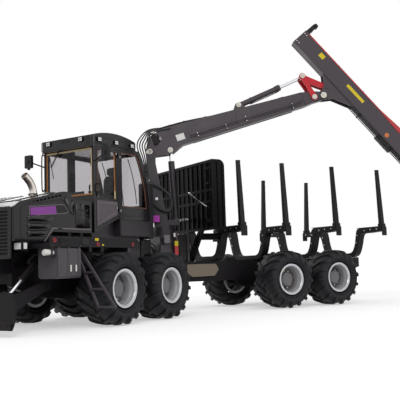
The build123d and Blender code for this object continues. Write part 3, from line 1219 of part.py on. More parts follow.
# Base between the front frame and the cab: a block, a wider shelf and brackets under the walkways
CAB_BASE_TOP = CAB_REAR_FLOOR - SEAT_GAP
with BuildPart() as cab_base:
    with BuildSketch(upright(CAB_BASE_HALF)):
        outline((
            (CAB_BASE_BACK, FRONT_FRAME_TOP + SEAT_GAP),
            (CAB_BASE_FRONT, FRONT_FRAME_TOP + SEAT_GAP),
            (CAB_BASE_FRONT, underside(CAB_BASE_FRONT) - SEAT_GAP),
            (CAB_STEP_X, CAB_BASE_TOP),
            (CAB_BASE_BACK, CAB_BASE_TOP),
        ))
    extrude(amount=2 * CAB_BASE_HALF)
    with Locations((CAB_REAR_LOW[0] + 10, 0, CAB_BASE_SHELF)):
        Box(CAB_BASE_SHELF_FRONT - CAB_REAR_LOW[0] - 10, 2 * CAB_HALF_WIDTH - 30, CAB_BASE_TOP - CAB_BASE_SHELF,
            align=(Align.MIN, Align.CENTER, Align.MIN))
    with Locations((CAB_BRACKET_X, 0, OUTRIGGER_TOP)):
        Box(OUTRIGGER_WIDE, 2 * OUTRIGGER_LONG, OUTRIGGER_DEPTH, align=(Align.CENTER, Align.CENTER, Align.MAX))
finish("cab_base", cab_base.part, FRONT)

# Operator's seat and console
SEAT_FLOOR = CAB_REAR_FLOOR + CAB_WALL + SEAT_GAP
SEAT_LOW = SEAT_FLOOR + SEAT_STAND
with BuildPart() as seat:
    with Locations((SEAT_BACK + 0.6 * SEAT_SIZE, 0, SEAT_FLOOR)):
        Box(0.6 * SEAT_SIZE, 0.6 * SEAT_SIZE, SEAT_STAND, align=(Align.CENTER, Align.CENTER, Align.MIN))
    with BuildSketch(upright(SEAT_SIZE / 2)):
        with BuildLine():
            Polyline((SEAT_BACK, SEAT_LOW + SEAT_BACKREST), (SEAT_BACK + 40, SEAT_LOW),
                     (SEAT_BACK + 1.15 * SEAT_SIZE, SEAT_LOW), (SEAT_BACK + 1.2 * SEAT_SIZE, SEAT_LOW + SEAT_CUSHION))
            ThreePointArc((SEAT_BACK + 1.2 * SEAT_SIZE, SEAT_LOW + SEAT_CUSHION),
                          (SEAT_BACK + 0.75 * SEAT_SIZE, SEAT_LOW + SEAT_CUSHION + 20),
                          (SEAT_BACK + 0.36 * SEAT_SIZE, SEAT_LOW + SEAT_CUSHION))
            Polyline((SEAT_BACK + 0.36 * SEAT_SIZE, SEAT_LOW + SEAT_CUSHION),
                     (SEAT_BACK + 0.22 * SEAT_SIZE, SEAT_LOW + SEAT_BACKREST), (SEAT_BACK, SEAT_LOW + SEAT_BACKREST))
        make_face()
    extrude(amount=SEAT_SIZE)
finish("seat", seat.part, FRONT)

FLOOR_SLOPE = rise((CAB_STEP_X, CAB_REAR_FLOOR), (CAB_FRONT_X, CAB_FRONT_FLOOR))
FLOOR_SEAT = (CAB_WALL + SEAT_GAP) / math.cos(math.radians(FLOOR_SLOPE))
CONSOLE_SIDE = (
    (CONSOLE_X, CAB_REAR_FLOOR),
    (CONSOLE_X + 60, CAB_REAR_FLOOR + CONSOLE_HEIGHT),
    (CAB_FRONT_X - 2 * CAB_WALL, CAB_REAR_FLOOR + CONSOLE_HEIGHT - 80),
    (CAB_FRONT_X - 2 * CAB_WALL, underside(CAB_FRONT_X - 2 * CAB_WALL) + FLOOR_SEAT),
    (CONSOLE_X, underside(CONSOLE_X) + FLOOR_SEAT),
)
with BuildPart() as console:
    with BuildSketch(upright(CONSOLE_HALF)):
        outline(CONSOLE_SIDE)
    extrude(amount=2 * CONSOLE_HALF)
finish("console", console.part, FRONT)

# Hood: an open shell over the engine, its lower edge stepped, with a raised shoulder behind
ENGINE_TOP = FRONT_FRAME_TOP + SEAT_GAP + ENGINE_HEIGHT
HOOD_OUTLINE = (
    (HOOD_BACK, HOOD_LOW_REAR),
    (HOOD_BACK, HOOD_REAR_TOP),
    (HOOD_SHOULDER_X - 200, HOOD_REAR_TOP),
    (HOOD_SHOULDER_X, HOOD_SHOULDER_TOP),
    (HOOD_SHOULDER_X + 140, HOOD_SHOULDER_TOP - 10),
    (HOOD_FRONT - 160, HOOD_FRONT_TOP + 105),
    (HOOD_FRONT, HOOD_FRONT_TOP),
    (HOOD_FRONT, HOOD_LOW_FRONT),
    (HOOD_STEP_X + 190, HOOD_LOW_FRONT),
    (HOOD_STEP_X, HOOD_LOW_REAR),
)
HOOD_CAVITY = tuple((x, z - 2 * HOOD_WALL if z <= HOOD_LOW_REAR else z) for x, z in HOOD_OUTLINE)
VENT_LINE = ((HOOD_SHOULDER_X + 190, HOOD_SHOULDER_TOP - 85), (HOOD_FRONT - 380, HOOD_FRONT_TOP + 90))
VENT_SLOPE = rise(*VENT_LINE)
with BuildPart() as hood:
    with BuildSketch(upright(HOOD_HALF_WIDTH)):
        outline(HOOD_OUTLINE)
    extrude(amount=2 * HOOD_HALF_WIDTH)
    fillet(hood.edges().filter_by(Axis.Z).group_by(Axis.X)[-1], HOOD_ROUND)
    with BuildSketch(upright(HOOD_HALF_WIDTH - HOOD_WALL)):
        add(shrunk(Polygon(*HOOD_CAVITY, align=None, mode=Mode.PRIVATE), HOOD_WALL))
    extrude(amount=2 * (HOOD_HALF_WIDTH - HOOD_WALL), mode=Mode.SUBTRACT)
    with BuildSketch(upright(HOOD_HALF_WIDTH + 1)):
        for vent in range(VENT_COUNT):
            share = vent / (VENT_COUNT - 1)
            x = VENT_LINE[0][0] + share * (VENT_LINE[1][0] - VENT_LINE[0][0])
            z = VENT_LINE[0][1] + share * (VENT_LINE[1][1] - VENT_LINE[0][1])
            with Locations(Location((x, z), VENT_SLOPE)):
                Rectangle(*VENT_SIZE)
    extrude(amount=2 * HOOD_HALF_WIDTH + 2, mode=Mode.SUBTRACT)
    for back, low in LOUVRES:
        with BuildSketch(Plane.YZ.offset(back)):
            outline((
                (HOOD_HALF_WIDTH - 1, low),
                (HOOD_HALF_WIDTH + LOUVRE_OUT, low),
                (HOOD_HALF_WIDTH - 1, low + LOUVRE_HIGH),
            ))
            mirror(about=Plane.YZ)
        extrude(amount=LOUVRE_FRONT - back)
    with Locations((*EXHAUST_AT, HOOD_SHOULDER_TOP)):
        Cylinder(EXHAUST_RADIUS + 6, 400, mode=Mode.SUBTRACT)
finish("hood", hood.part, FRONT)

with BuildPart() as engine:
    with Locations((HOOD_BACK + ENGINE_INSET, 0, FRONT_FRAME_TOP + SEAT_GAP)):
        Box(HOOD_FRONT - HOOD_BACK - 2 * ENGINE_INSET, 2 * (FRAME_HALF_WIDTH - RAIL_WIDTH - 10), ENGINE_HEIGHT,
            align=(Align.MIN, Align.CENTER, Align.MIN))
finish("engine_block", engine.part, FRONT)

# Grille: a framed plate of level slats, as wide as the hood
GRILLE_X = HOOD_FRONT + SEAT_GAP
GRILLE_HEIGHT = HOOD_FRONT_TOP - GRILLE_LOW
ROW_PITCH = (GRILLE_HEIGHT - 2 * GRILLE_FRAME + GRILLE_SLAT) / GRILLE_ROWS
COLUMN_PITCH = (2 * GRILLE_HALF - 2 * GRILLE_FRAME + GRILLE_FRAME / 2) / GRILLE_COLUMNS
with BuildPart() as grille:
    with BuildSketch(Plane.YZ.offset(GRILLE_X)):
        with Locations((0, GRILLE_LOW + GRILLE_HEIGHT / 2)):
            Rectangle(2 * GRILLE_HALF, GRILLE_HEIGHT)
            with GridLocations(COLUMN_PITCH, ROW_PITCH, GRILLE_COLUMNS, GRILLE_ROWS):
                Rectangle(COLUMN_PITCH - GRILLE_FRAME / 2, ROW_PITCH - GRILLE_SLAT, mode=Mode.SUBTRACT)
    extrude(amount=GRILLE_THICK)
finish("grille", grille.part, FRONT)

# Exhaust: up from the engine through the hood, then bent forwards, open at its end
with BuildPart() as exhaust:
    with BuildLine(Plane.XZ.offset(-EXHAUST_AT[1])):
        pipe = Line((EXHAUST_AT[0], ENGINE_TOP + SEAT_GAP), (EXHAUST_AT[0], EXHAUST_RISE))
        bend = JernArc(pipe @ 1, pipe % 1, EXHAUST_BEND, -EXHAUST_TURN)
        mouth = Line(bend @ 1, bend @ 1 + (bend % 1) * EXHAUST_END)
    with BuildSketch(Plane(origin=pipe @ 0, z_dir=pipe % 0)):
        Circle(EXHAUST_RADIUS)
    sweep()
    with BuildSketch(Plane(origin=mouth @ 1, z_dir=mouth % 1)):
        Circle(EXHAUST_RADIUS - EXHAUST_WALL)
    extrude(amount=-EXHAUST_END, mode=Mode.SUBTRACT)
finish("exhaust", exhaust.part, FRONT)

# Walkways along both sides of the hood and cab, over the wheels, with a board along their outer edge
WALKWAY_INNER = HOOD_HALF_WIDTH + SEAT_GAP
with BuildPart() as walkways:
    with Locations((WALKWAY_BACK, WALKWAY_INNER, WALKWAY_TOP)):
        Box(WALKWAY_FRONT - WALKWAY_BACK, WALKWAY_OUTER - WALKWAY_INNER, WALKWAY_THICK,
            align=(Align.MIN, Align.MIN, Align.MAX))
    with Locations((WALKWAY_BACK, WALKWAY_OUTER, SIDE_BOARD_TOP)):
        Box(WALKWAY_FRONT - WALKWAY_BACK, SIDE_BOARD_THICK, SIDE_BOARD_TOP - WALKWAY_TOP + WALKWAY_THICK,
            align=(Align.MIN, Align.MAX, Align.MAX))
    mirror(about=Plane.XZ)
finish("walkways", walkways.part, FRONT)

# Side tanks under the walkways, in front of the front wheels
with BuildPart() as tanks:
    with Locations(((TANK_BACK + TANK_FRONT) / 2, WALKWAY_OUTER, TANK_BOTTOM)):
        Box(TANK_FRONT - TANK_BACK, WALKWAY_OUTER - TANK_INNER, OUTRIGGER_TOP - TANK_BOTTOM,
            align=(Align.CENTER, Align.MAX, Align.MIN))
    fillet(tanks.edges().filter_by(Axis.X), TANK_ROUND)
    mirror(about=Plane.XZ)
finish("side_tanks", tanks.part, FRONT)

# Front lamps in their boxes before the foremost outrigger
LAMP_BACK = OUTRIGGERS[-1][0] + OUTRIGGER_WIDE / 2 + SEAT_GAP
with BuildPart() as front_lamps:
    for side in (1, -1):
        with Locations((LAMP_BACK, side * LAMP_Y, LAMP_LOW)):
            Box(*LAMP_BOX, align=(Align.MIN, Align.CENTER, Align.MIN))
    fillet(front_lamps.edges().filter_by(Axis.X), 25)
finish("front_lamps", front_lamps.part, FRONT)

# Ladder under the left walkway: two bars that fan outwards, with level treads between them
LADDER_TOP = WALKWAY_TOP - WALKWAY_THICK - SEAT_GAP


def ladder_y(bar, height):
    """Y of a bar of the ladder at a height."""
    return bar[0] + (bar[1] - bar[0]) * (LADDER_TOP - height) / (LADDER_TOP - LADDER_FOOT)


with BuildPart() as ladder:
    for bar in (LADDER_INNER, LADDER_OUTER):
        with BuildSketch(Plane.YZ.offset(LADDER_X - LADDER_BAR / 2)):
            outline((
                (bar[0] - LADDER_BAR, LADDER_TOP),
                (bar[0] + LADDER_BAR, LADDER_TOP),
                (bar[1] + LADDER_BAR / 2, LADDER_FOOT),
                (bar[1] - LADDER_BAR / 2, LADDER_FOOT),
            ))
        extrude(amount=LADDER_BAR)
    for height in LADDER_RUNGS:
        inner = ladder_y(LADDER_INNER, height)
        with Locations((LADDER_X, inner, height)):
            Box(LADDER_TREAD, ladder_y(LADDER_OUTER, height) - inner, LADDER_BAR,
                align=(Align.CENTER, Align.MIN, Align.CENTER))
finish("ladder", ladder.part, FRONT)

# Blade: curved mouldboard with two arms, hinged on the front frame
BLADE_FACE = BLADE_PIVOT[0] + BLADE_REACH
BLADE_EYE = (BLADE_FACE - 210.0, BLADE_TOP - 110.0)
BLADE_MIDDLE = (BLADE_BOTTOM + BLADE_TOP) / 2
BLADE_EDGE = BLADE_FACE + 60.0
BLADE_HOLLOW = BLADE_EDGE - BLADE_CURVE
BLADE_BACK = BLADE_HOLLOW - BLADE_PLATE
with BuildPart() as blade:
    with BuildSketch(upright(BLADE_HALF_WIDTH)):
        with BuildLine():
            front = ThreePointArc((BLADE_EDGE, BLADE_TOP), (BLADE_HOLLOW, BLADE_MIDDLE), (BLADE_EDGE, BLADE_BOTTOM))
            Line(front @ 1, (BLADE_EDGE - BLADE_PLATE, BLADE_BOTTOM))
            back = ThreePointArc((BLADE_EDGE - BLADE_PLATE, BLADE_BOTTOM), (BLADE_BACK, BLADE_MIDDLE),
                                 (BLADE_EDGE - BLADE_PLATE, BLADE_TOP))
            Line(back @ 1, front @ 0)
        make_face()
    extrude(amount=2 * BLADE_HALF_WIDTH)
    for side in (1, -1):
        with BuildSketch(upright(side * BLADE_ARM_Y + BLADE_ARM_THICK / 2)):
            outline((
                (BLADE_PIVOT[0] - 60, BLADE_PIVOT[1] + 70),
                (BLADE_PIVOT[0] + 120, BLADE_PIVOT[1] + 75),
                (BLADE_BACK + 10, BLADE_BOTTOM + 470),
                (BLADE_BACK + 10, BLADE_BOTTOM + 170),
                (BLADE_PIVOT[0] + 120, BLADE_PIVOT[1] - 110),
                (BLADE_PIVOT[0] - 60, BLADE_PIVOT[1] - 70),
            ))
            with Locations(BLADE_PIVOT):
                Circle(CRANE_PIN_RADIUS + PIN_CLEARANCE, mode=Mode.SUBTRACT)
        extrude(amount=BLADE_ARM_THICK)
        for cheek in (1, -1):
            middle = side * BLADE_CYLINDER_Y + cheek * (BLADE_EYE_HALF + SIDE_GAP + 12)
            with BuildSketch(upright(middle + 12)):
                outline((
                    (BLADE_BACK + 15, BLADE_EYE[1] + 90),
                    (BLADE_EYE[0] - 60, BLADE_EYE[1] + 50),
                    (BLADE_EYE[0] - 60, BLADE_EYE[1] - 50),
                    (BLADE_BACK + 15, BLADE_EYE[1] - 110),
                ))
            extrude(amount=24)
finish("blade", blade.part, FRONT)

# Blade cylinders, one each side, between the outriggers and the blade
BLADE_SPAN = span(BLADE_CYLINDER_FOOT, BLADE_EYE)
BLADE_BARREL = 560.0
BLADE_ROD_END = 280.0
BLADE_ROD_RADIUS = 30.0
BLADE_LEAN = rise(BLADE_CYLINDER_FOOT, BLADE_EYE)
blade_barrel = barrel_part(BLADE_BARREL, BLADE_BARREL_RADIUS, BLADE_ROD_RADIUS, BLADE_FOOT_HALF, 58.0, BLADE_PIN)
blade_rod = rod_part(BLADE_SPAN, BLADE_ROD_END, BLADE_ROD_RADIUS, BLADE_EYE_HALF, 50.0)
for label, piece in (("blade_barrels", blade_barrel), ("blade_rods", blade_rod)):
    with BuildPart() as both:
        for side in (1, -1):
            foot = (BLADE_CYLINDER_FOOT[0], side * BLADE_CYLINDER_Y, BLADE_CYLINDER_FOOT[1])
            with Locations(Location(foot, (0, -BLADE_LEAN, 0))):
                add(piece)
    finish(label, both.part, FRONT)

# The whole machine is centred over its origin, on the floor, and each piece written where it stands
boxes = [part.moved(frame).bounding_box() for label, part, frame in pieces]
MIDDLE_X = (min(box.min.X for box in boxes) + max(box.max.X for box in boxes)) / 2
MIDDLE_Y = (min(box.min.Y for box in boxes) + max(box.max.Y for box in boxes)) / 2
CENTRE = Location((-MIDDLE_X, -MIDDLE_Y, 0))
os.makedirs("parts", exist_ok=True)
for label, part, frame in pieces:
    placed = part.moved(CENTRE * frame)
    placed.label = label
    export_step(placed, "parts/" + label + ".step")
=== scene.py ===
"""Looks of the forestry forwarder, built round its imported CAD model: materials, tyres and rims, glass
edges, hoses, pipes, lamps, plates and bolts, the seat, and the stage with its camera.

Everything is in metres in the frame of the CAD model. The two halves of the machine and the crane
stand turned, so each piece is worked out in the frame of its own half and then put in its place.
"""

import json
import math

import bmesh
import bpy
import numpy as np
from mathutils import Matrix, Vector


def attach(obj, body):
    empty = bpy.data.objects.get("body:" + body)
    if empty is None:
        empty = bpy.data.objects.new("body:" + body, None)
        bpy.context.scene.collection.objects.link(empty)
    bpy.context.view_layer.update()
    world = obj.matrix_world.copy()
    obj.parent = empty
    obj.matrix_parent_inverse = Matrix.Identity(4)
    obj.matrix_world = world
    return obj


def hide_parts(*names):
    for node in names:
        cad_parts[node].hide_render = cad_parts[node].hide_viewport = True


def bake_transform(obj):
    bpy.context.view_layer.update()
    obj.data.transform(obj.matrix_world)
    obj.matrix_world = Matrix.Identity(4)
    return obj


bl_info = {
    "name": "Forestry forwarder looks",
    "version": (1, 0, 0),
    "blender": (4, 5, 0),
    "location": "3D View > Sidebar > Forwarder",
    "description": "Dresses the packed forestry forwarder and sets up its studio",
    "category": "Object",
}

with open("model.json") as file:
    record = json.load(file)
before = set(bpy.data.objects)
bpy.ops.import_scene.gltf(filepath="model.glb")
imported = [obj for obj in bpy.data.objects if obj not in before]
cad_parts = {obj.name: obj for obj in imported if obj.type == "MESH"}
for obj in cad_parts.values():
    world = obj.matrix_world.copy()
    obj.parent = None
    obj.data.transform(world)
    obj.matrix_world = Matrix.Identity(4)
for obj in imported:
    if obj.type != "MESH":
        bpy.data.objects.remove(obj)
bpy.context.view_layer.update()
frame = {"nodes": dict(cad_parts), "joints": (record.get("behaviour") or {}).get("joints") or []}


# Frames of the machine, as 4 x 4 matrices

def shift(x, y, z):
    """Moves by x, y, z."""
    matrix = np.eye(4)
    matrix[:3, 3] = (x, y, z)
    return matrix


def turn(axis, degrees):
    """Turns about a coordinate axis."""
    return np.array(Matrix.Rotation(math.radians(degrees), 4, axis))


def joint_place(name):
    """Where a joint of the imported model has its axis."""
    return next(j["pos_m"] for j in frame["joints"] if j["name"] == name)


def leaning(point, degrees):
    """A frame in a side-view plane: its origin, and how far its X points up."""
    return shift(point[0], 0, point[1]) @ turn("Y", -degrees)


def at(place, point):
    """A point given in a frame, in the scene."""
    return (place @ np.array((*point, 1.0)))[:3]


PIVOT = joint_place("steer")
REAR = shift(PIVOT[0], PIVOT[1], 0)
FRONT = REAR @ turn("Z", 25.5)
CRANE = REAR @ shift(-0.45, 0, 0) @ turn("Z", 150.0)
BOOM = CRANE @ leaning((-0.269, 3.732), 16.9)
BOOM_LENGTH = 4.329
JIB = BOOM @ leaning((BOOM_LENGTH, 0.0), -16.9 - 49.5)
WHEELS = [                 # name, frame, X of the axle, side
    (f"{half}_{side}_{end}", place, x, sign)
    for half, place, axles in (("front", FRONT, (2.630, 1.116)), ("rear", REAR, (-3.037, -4.551)))
    for side, sign in (("left", 1), ("right", -1))
    for end, x in zip(("fore", "aft"), axles)
]
TRACK_HALF = 1.140
AXLE_HEIGHT = 0.675
HOME = {                   # the frame in which the pieces of a body are given
    "front_body": FRONT, "door": FRONT, "blade": FRONT, "rear_body": REAR,
    "column": CRANE, "boom": BOOM, "jib_barrel": BOOM, "rocker": BOOM, "outer_boom": JIB,
}
GAP = 0.0003               # how far most plates stand off the face behind them
SLIGHT_GAP = 0.0002        # and how far the pressings do


class ForwarderSizes(bpy.types.PropertyGroup):
    """Sizes of the pieces that are made here."""

    lug_height: bpy.props.FloatProperty(
        name="Lug height", description="How far a tyre's lugs stand out of its tread",
        default=0.042, unit="LENGTH")
    lug_count: bpy.props.IntProperty(
        name="Lugs", description="Lugs on each half of a tyre's tread", default=16)
    hose_radius: bpy.props.FloatProperty(
        name="Hose radius", description="Outer radius of a hydraulic hose", default=0.014, unit="LENGTH")
    lens: bpy.props.FloatProperty(
        name="Lens", description="Focal length on a sensor 36 mm wide, in millimetres", default=61.02)


class ForwarderColours(bpy.types.PropertyGroup):
    """Colours of the finishes."""

    body: bpy.props.StringProperty(
        name="Body", description="Enamel of the hood and cab, as sRGB hex", default="#151015")
    frame: bpy.props.StringProperty(
        name="Frame", description="Enamel of the frames and bunks, as sRGB hex", default="#161317")
    panel: bpy.props.StringProperty(
        name="Panels", description="Enamel of the grey lower panels, as sRGB hex", default="#625B60")
    crane: bpy.props.StringProperty(
        name="Crane", description="Enamel of the crane, as sRGB hex", default="#463F45")
    sign: bpy.props.StringProperty(
        name="Sign", description="The blank sign on the hood's sides, as sRGB hex", default="#8A3A9A")
    links: bpy.props.StringProperty(
        name="Links", description="Enamel of the crane's red links, as sRGB hex", default="#C8343C")
    rims: bpy.props.StringProperty(
        name="Rims", description="Powder coat of the rims, as sRGB hex", default="#CBCCD0")


# Meshes

MERGE = 1e-5               # points nearer than this become one
TINY = 1e-12               # keeps a length of nothing from dividing
FINISHES = {}              # made by the materials operator, by name


def piece(name, shells, coat, body, place=None, smooth=35.0):
    """One object from closed shells of points and faces, in a named finish and riding on a body, or on
    none. Its points are given in the frame `place`, or else in its body's own.

    Its doubles are merged, its faces turned outwards, and edges sharper than `smooth` degrees stay sharp.
    """
    points, faces, start = [], [], 0
    for shell_points, shell_faces in shells:
        points.append(shell_points)
        faces += [[start + index for index in face] for face in shell_faces]
        start += len(shell_points)
    points = np.concatenate(points)
    place = HOME.get(body) if place is None else place
    if place is not None:
        points = points @ place[:3, :3].T + place[:3, 3]
    mesh = bpy.data.meshes.new(name)
    mesh.from_pydata(points.tolist(), [], faces)
    work = bmesh.new()
    work.from_mesh(mesh)
    bmesh.ops.remove_doubles(work, verts=work.verts, dist=MERGE)
    bmesh.ops.delete(work, geom=[edge for edge in work.edges if not edge.link_faces], context="EDGES")
    bmesh.ops.recalc_face_normals(work, faces=work.faces)
    work.to_mesh(mesh)
    work.free()
    mesh.polygons.foreach_set("use_smooth", np.ones(len(mesh.polygons), bool))
    mesh.set_sharp_from_angle(angle=math.radians(smooth))
    made = bpy.data.objects.new(name, mesh)
    bpy.context.scene.collection.objects.link(made)
    made.data.materials.append(FINISHES[coat])
    if body:
        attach(made, body)
    return made


def skin(rings, closed=False):
    """Faces over rings of equal length, ring i joined to ring i + 1 by quads and the end rings each
    closed by one face; a closed skin joins the last ring to the first instead."""
    count, length = rings.shape[:2]
    ring = np.arange(count if closed else count - 1)[:, None]
    step = np.arange(length)[None, :]
    near = ring * length
    far = (ring + 1) % count * length
    ahead = (step + 1) % length
    quads = np.stack([near + step, near + ahead, far + ahead, far + step], axis=-1)
    faces = quads.reshape(-1, 4).tolist()
    if not closed:
        faces.append(list(range(length))[::-1])
        faces.append(list(range((count - 1) * length, count * length)))
    return rings.reshape(-1, 3), faces


def lathe(profile, count=48):
    """A profile of (across, radius) turned round Y: point = (radius sin a, across, radius cos a)."""
    across, radius = np.array(profile, float).T
    angle = np.linspace(0, 2 * math.pi, count, endpoint=False)[:, None]
    return np.stack([radius * np.sin(angle), across + 0 * angle, radius * np.cos(angle)], axis=-1)


def turned_shell(profile, count=48):
    """A closed profile of (across, radius) turned round Y into a ring-shaped shell."""
    return skin(lathe(profile, count), closed=True)


def rounded_outline(points, radius, steps=4):
    """A polygon with its corners rounded: each corner becomes an arc of `steps` chords, drawn as a
    quadratic curve between the two points one radius away from it."""
    points = np.array(points, float)
    if not radius:
        return points
    before = np.roll(points, 1, axis=0) - points
    after = np.roll(points, -1, axis=0) - points
    reach_in = np.linalg.norm(before, axis=1, keepdims=True)
    reach_out = np.linalg.norm(after, axis=1, keepdims=True)
    radius = np.minimum(radius, np.minimum(reach_in, reach_out) * 0.48)
    start = points + before / reach_in * radius
    end = points + after / reach_out * radius
    t = np.linspace(0, 1, steps + 1)[None, :, None]
    arcs = (1 - t) ** 2 * start[:, None] + 2 * t * (1 - t) * points[:, None] + t ** 2 * end[:, None]
    return arcs.reshape(-1, 2)


def inwards(outline, by):
    """The outline moved inwards: each point along the mean of its two edge normals."""
    ahead = np.roll(outline, -1, axis=0) - outline
    ahead /= np.linalg.norm(ahead, axis=1, keepdims=True) + TINY
    normal = np.stack([-ahead[:, 1], ahead[:, 0]], axis=1)
    mean = normal + np.roll(normal, 1, axis=0)
    mean /= np.linalg.norm(mean, axis=1, keepdims=True) + TINY
    area = np.sum(outline[:, 0] * np.roll(outline[:, 1], -1) - np.roll(outline[:, 0], -1) * outline[:, 1])
    return outline + mean * by * np.sign(area)


def stood(flat, level, plane):
    """A flat outline set up in its plane, at a level across it."""
    depth = np.full(len(flat), level)
    columns = {
        "XZ": (flat[:, 0], depth, flat[:, 1]),
        "YZ": (depth, flat[:, 0], flat[:, 1]),
        "XY": (flat[:, 0], flat[:, 1], depth),
    }
    return np.stack(columns[plane], axis=1)


def slab(points, low, high, edge=0.004, radius=0.0, plane="XZ"):
    """A plate: an outline carried from `low` to `high` across its plane, with rounded edges. The ring at
    each face is the outline moved inwards by the edge, and the full outline follows one edge further in."""
    outline = rounded_outline(points, radius)
    inner = inwards(outline, edge)
    rings = ((inner, low), (outline, low + edge), (outline, high - edge), (inner, high))
    return skin(np.array([stood(flat, level, plane) for flat, level in rings]))


def band(points, width, low, high, radius=0.0, plane="XZ"):
    """A flat ring: the outline and the same moved inwards by its width, both carried from low to high."""
    outline = rounded_outline(points, radius)
    inner = inwards(outline, width)
    rings = ((outline, low), (outline, high), (inner, high), (inner, low))
    return skin(np.array([stood(flat, level, plane) for flat, level in rings]), closed=True)


def corners(x, z, far_x, far_z):
    """The outline of a rectangle from two opposite corners."""
    return [(x, z), (far_x, z), (far_x, far_z), (x, far_z)]


def rectangle(x, z, width, height):
    """The outline of a rectangle about its middle."""
    return corners(x - width / 2, z - height / 2, x + width / 2, z + height / 2)


def strip(start, end, half):
    """The outline of a straight strip from one point to another."""
    start, end = np.array(start, float), np.array(end, float)
    side = np.array((start[1] - end[1], end[0] - start[0])) / np.linalg.norm(end - start) * half
    return [tuple(start - side), tuple(end - side), tuple(end + side), tuple(start + side)]


def plate(points, side, out=0.004, edge=0.001, radius=0.0):
    """A thin plate on a side face, standing out of it."""
    return slab(points, side + GAP, side + out, edge, radius)


def pressing(points, side, out, edge, radius=0.0):
    """A plate that looks pressed out of a side face."""
    return slab(points, side + SLIGHT_GAP, side + out, edge, radius)


def block(low, high, edge=0.004):
    """A box between two corners with bevelled edges."""
    return slab(corners(*low[:2], *high[:2]), low[2], high[2], edge, edge, "XY")


def smooth_path(points, steps=6):
    """A Catmull-Rom curve through the points: cubic between each pair, with slopes from its neighbours."""
    points = np.array(points, float)
    padded = np.concatenate([2 * points[:1] - points[1:2], points, 2 * points[-1:] - points[-2:-1]])
    a, b, c, d = (padded[i:len(padded) - 3 + i, None] for i in range(4))
    t = np.linspace(0, 1, steps, endpoint=False)[None, :, None]
    square = (2 * a - 5 * b + 4 * c - d) * t ** 2
    cube = (3 * b - a - 3 * c + d) * t ** 3
    curve = 0.5 * (2 * b + (c - a) * t + square + cube)
    return np.concatenate([curve.reshape(-1, points.shape[1]), points[-1:]])


def tube(path, radius, sides=10):
    """A circle carried along a path: each ring lies square to the path's direction, turned as little as
    possible from the ring before it."""
    path = np.array(path, float)
    ahead = np.gradient(path, axis=0)
    ahead /= np.linalg.norm(ahead, axis=1, keepdims=True) + TINY
    side = np.cross(ahead[0], (0, 0, 1) if abs(ahead[0][2]) < 0.9 else (1, 0, 0))
    sideways = []
    for direction in ahead:
        side = side - direction * (side @ direction)
        side = side / np.linalg.norm(side)
        sideways.append(side)
    side = np.array(sideways)
    other = np.cross(ahead, side)
    angle = np.linspace(0, 2 * math.pi, sides, endpoint=False)
    radius = np.broadcast_to(np.asarray(radius, float), len(path))[:, None, None]
    rings = path[:, None] + radius * (
        np.cos(angle)[None, :, None] * side[:, None] + np.sin(angle)[None, :, None] * other[:, None])
    return skin(rings)


def drum(start, end, radius, sides=24, edge=0.0):
    """A round bar from one point to another, its ends bevelled by `edge`."""
    start, end = np.array(start, float), np.array(end, float)
    along = (end - start) / np.linalg.norm(end - start)
    if not edge:
        return tube([start, end], radius, sides)
    path = [start, start + along * edge, end - along * edge, end]
    return tube(path, [radius - edge, radius, radius, radius - edge], sides)


def other_side(shells):
    """The mirror images of the shells in Y alone."""
    return [(points * (1, -1, 1), faces) for points, faces in shells]


def both_sides(shells):
    """The shells and their mirror images in Y."""
    return shells + other_side(shells)


def disc(profile, x, y, z, count):
    """A profile of (out, radius) turned round the Y axis through (x, z), standing out of y."""
    points, faces = turned_shell(profile, count)
    return points + np.array((x, y, z)), faces


def cap(x, y, z, radius, out, count=24):
    """A round cap with a bevelled rim."""
    profile = [(0, 0), (0, radius), (0.6 * out, radius), (out, 0.85 * radius), (out, 0)]
    return disc(profile, x, y, z, count)


def collar(x, y, z, radius, hole, out, count=24):
    """A round washer with bevelled rims."""
    rim = 0.18 * (radius - hole)
    profile = [(0, hole), (0, radius), (0.7 * out, radius), (out, radius - rim), (out, hole + rim),
               (0.8 * out, hole)]
    return disc(profile, x, y, z, count)


def cushion(centre, half, square=0.45, channels=0, depth=0.0, count=36):
    """A crowned closed pad: x, y, z = half sizes times signed powers of the cosines and sines of a latitude
    and a longitude, its face pressed in along level channels by depth (1 + cos) / 2 of the height."""
    across = np.linspace(-math.pi / 2, math.pi / 2, count)[:, None]
    around = np.linspace(0, 2 * math.pi, 2 * count, endpoint=False)[None, :]

    def power(value):
        return np.sign(value) * np.abs(value) ** square

    x = half[0] * power(np.cos(across)) * power(np.cos(around))
    y = half[1] * power(np.cos(across)) * power(np.sin(around))
    z = half[2] * power(np.sin(across)) + 0 * around
    if channels:
        press = depth * ((1 + np.cos(2 * math.pi * channels * z / (2 * half[2]))) / 2) ** 6
        x = x - np.sign(x) * np.minimum(press, np.abs(x))
    return skin(np.stack([x + centre[0], y + centre[1], z + centre[2]], axis=-1))


# Materials

def linear(code):
    """An sRGB hex colour as linear red, green, blue and alpha."""
    values = [int(code[i:i + 2], 16) / 255 for i in (1, 3, 5)]
    return [v / 12.92 if v <= 0.04045 else ((v + 0.055) / 1.055) ** 2.4 for v in values] + [1.0]


def add(tree, kind, inputs=None, **settings):
    """One node with its settings; an input takes a value or another node's output."""
    made = tree.nodes.new(kind)
    for name, value in settings.items():
        setattr(made, name, value)
    for key, value in (inputs or {}).items():
        if isinstance(value, bpy.types.NodeSocket):
            tree.links.new(value, made.inputs[key])
        else:
            made.inputs[key].default_value = value
    return made


def new_material(name):
    """An empty node material, and the place on its object that the textures follow."""
    material = bpy.data.materials.new(name)
    material.use_nodes = True
    tree = material.node_tree
    tree.nodes.clear()
    return material, tree, add(tree, "ShaderNodeTexCoord").outputs["Object"]


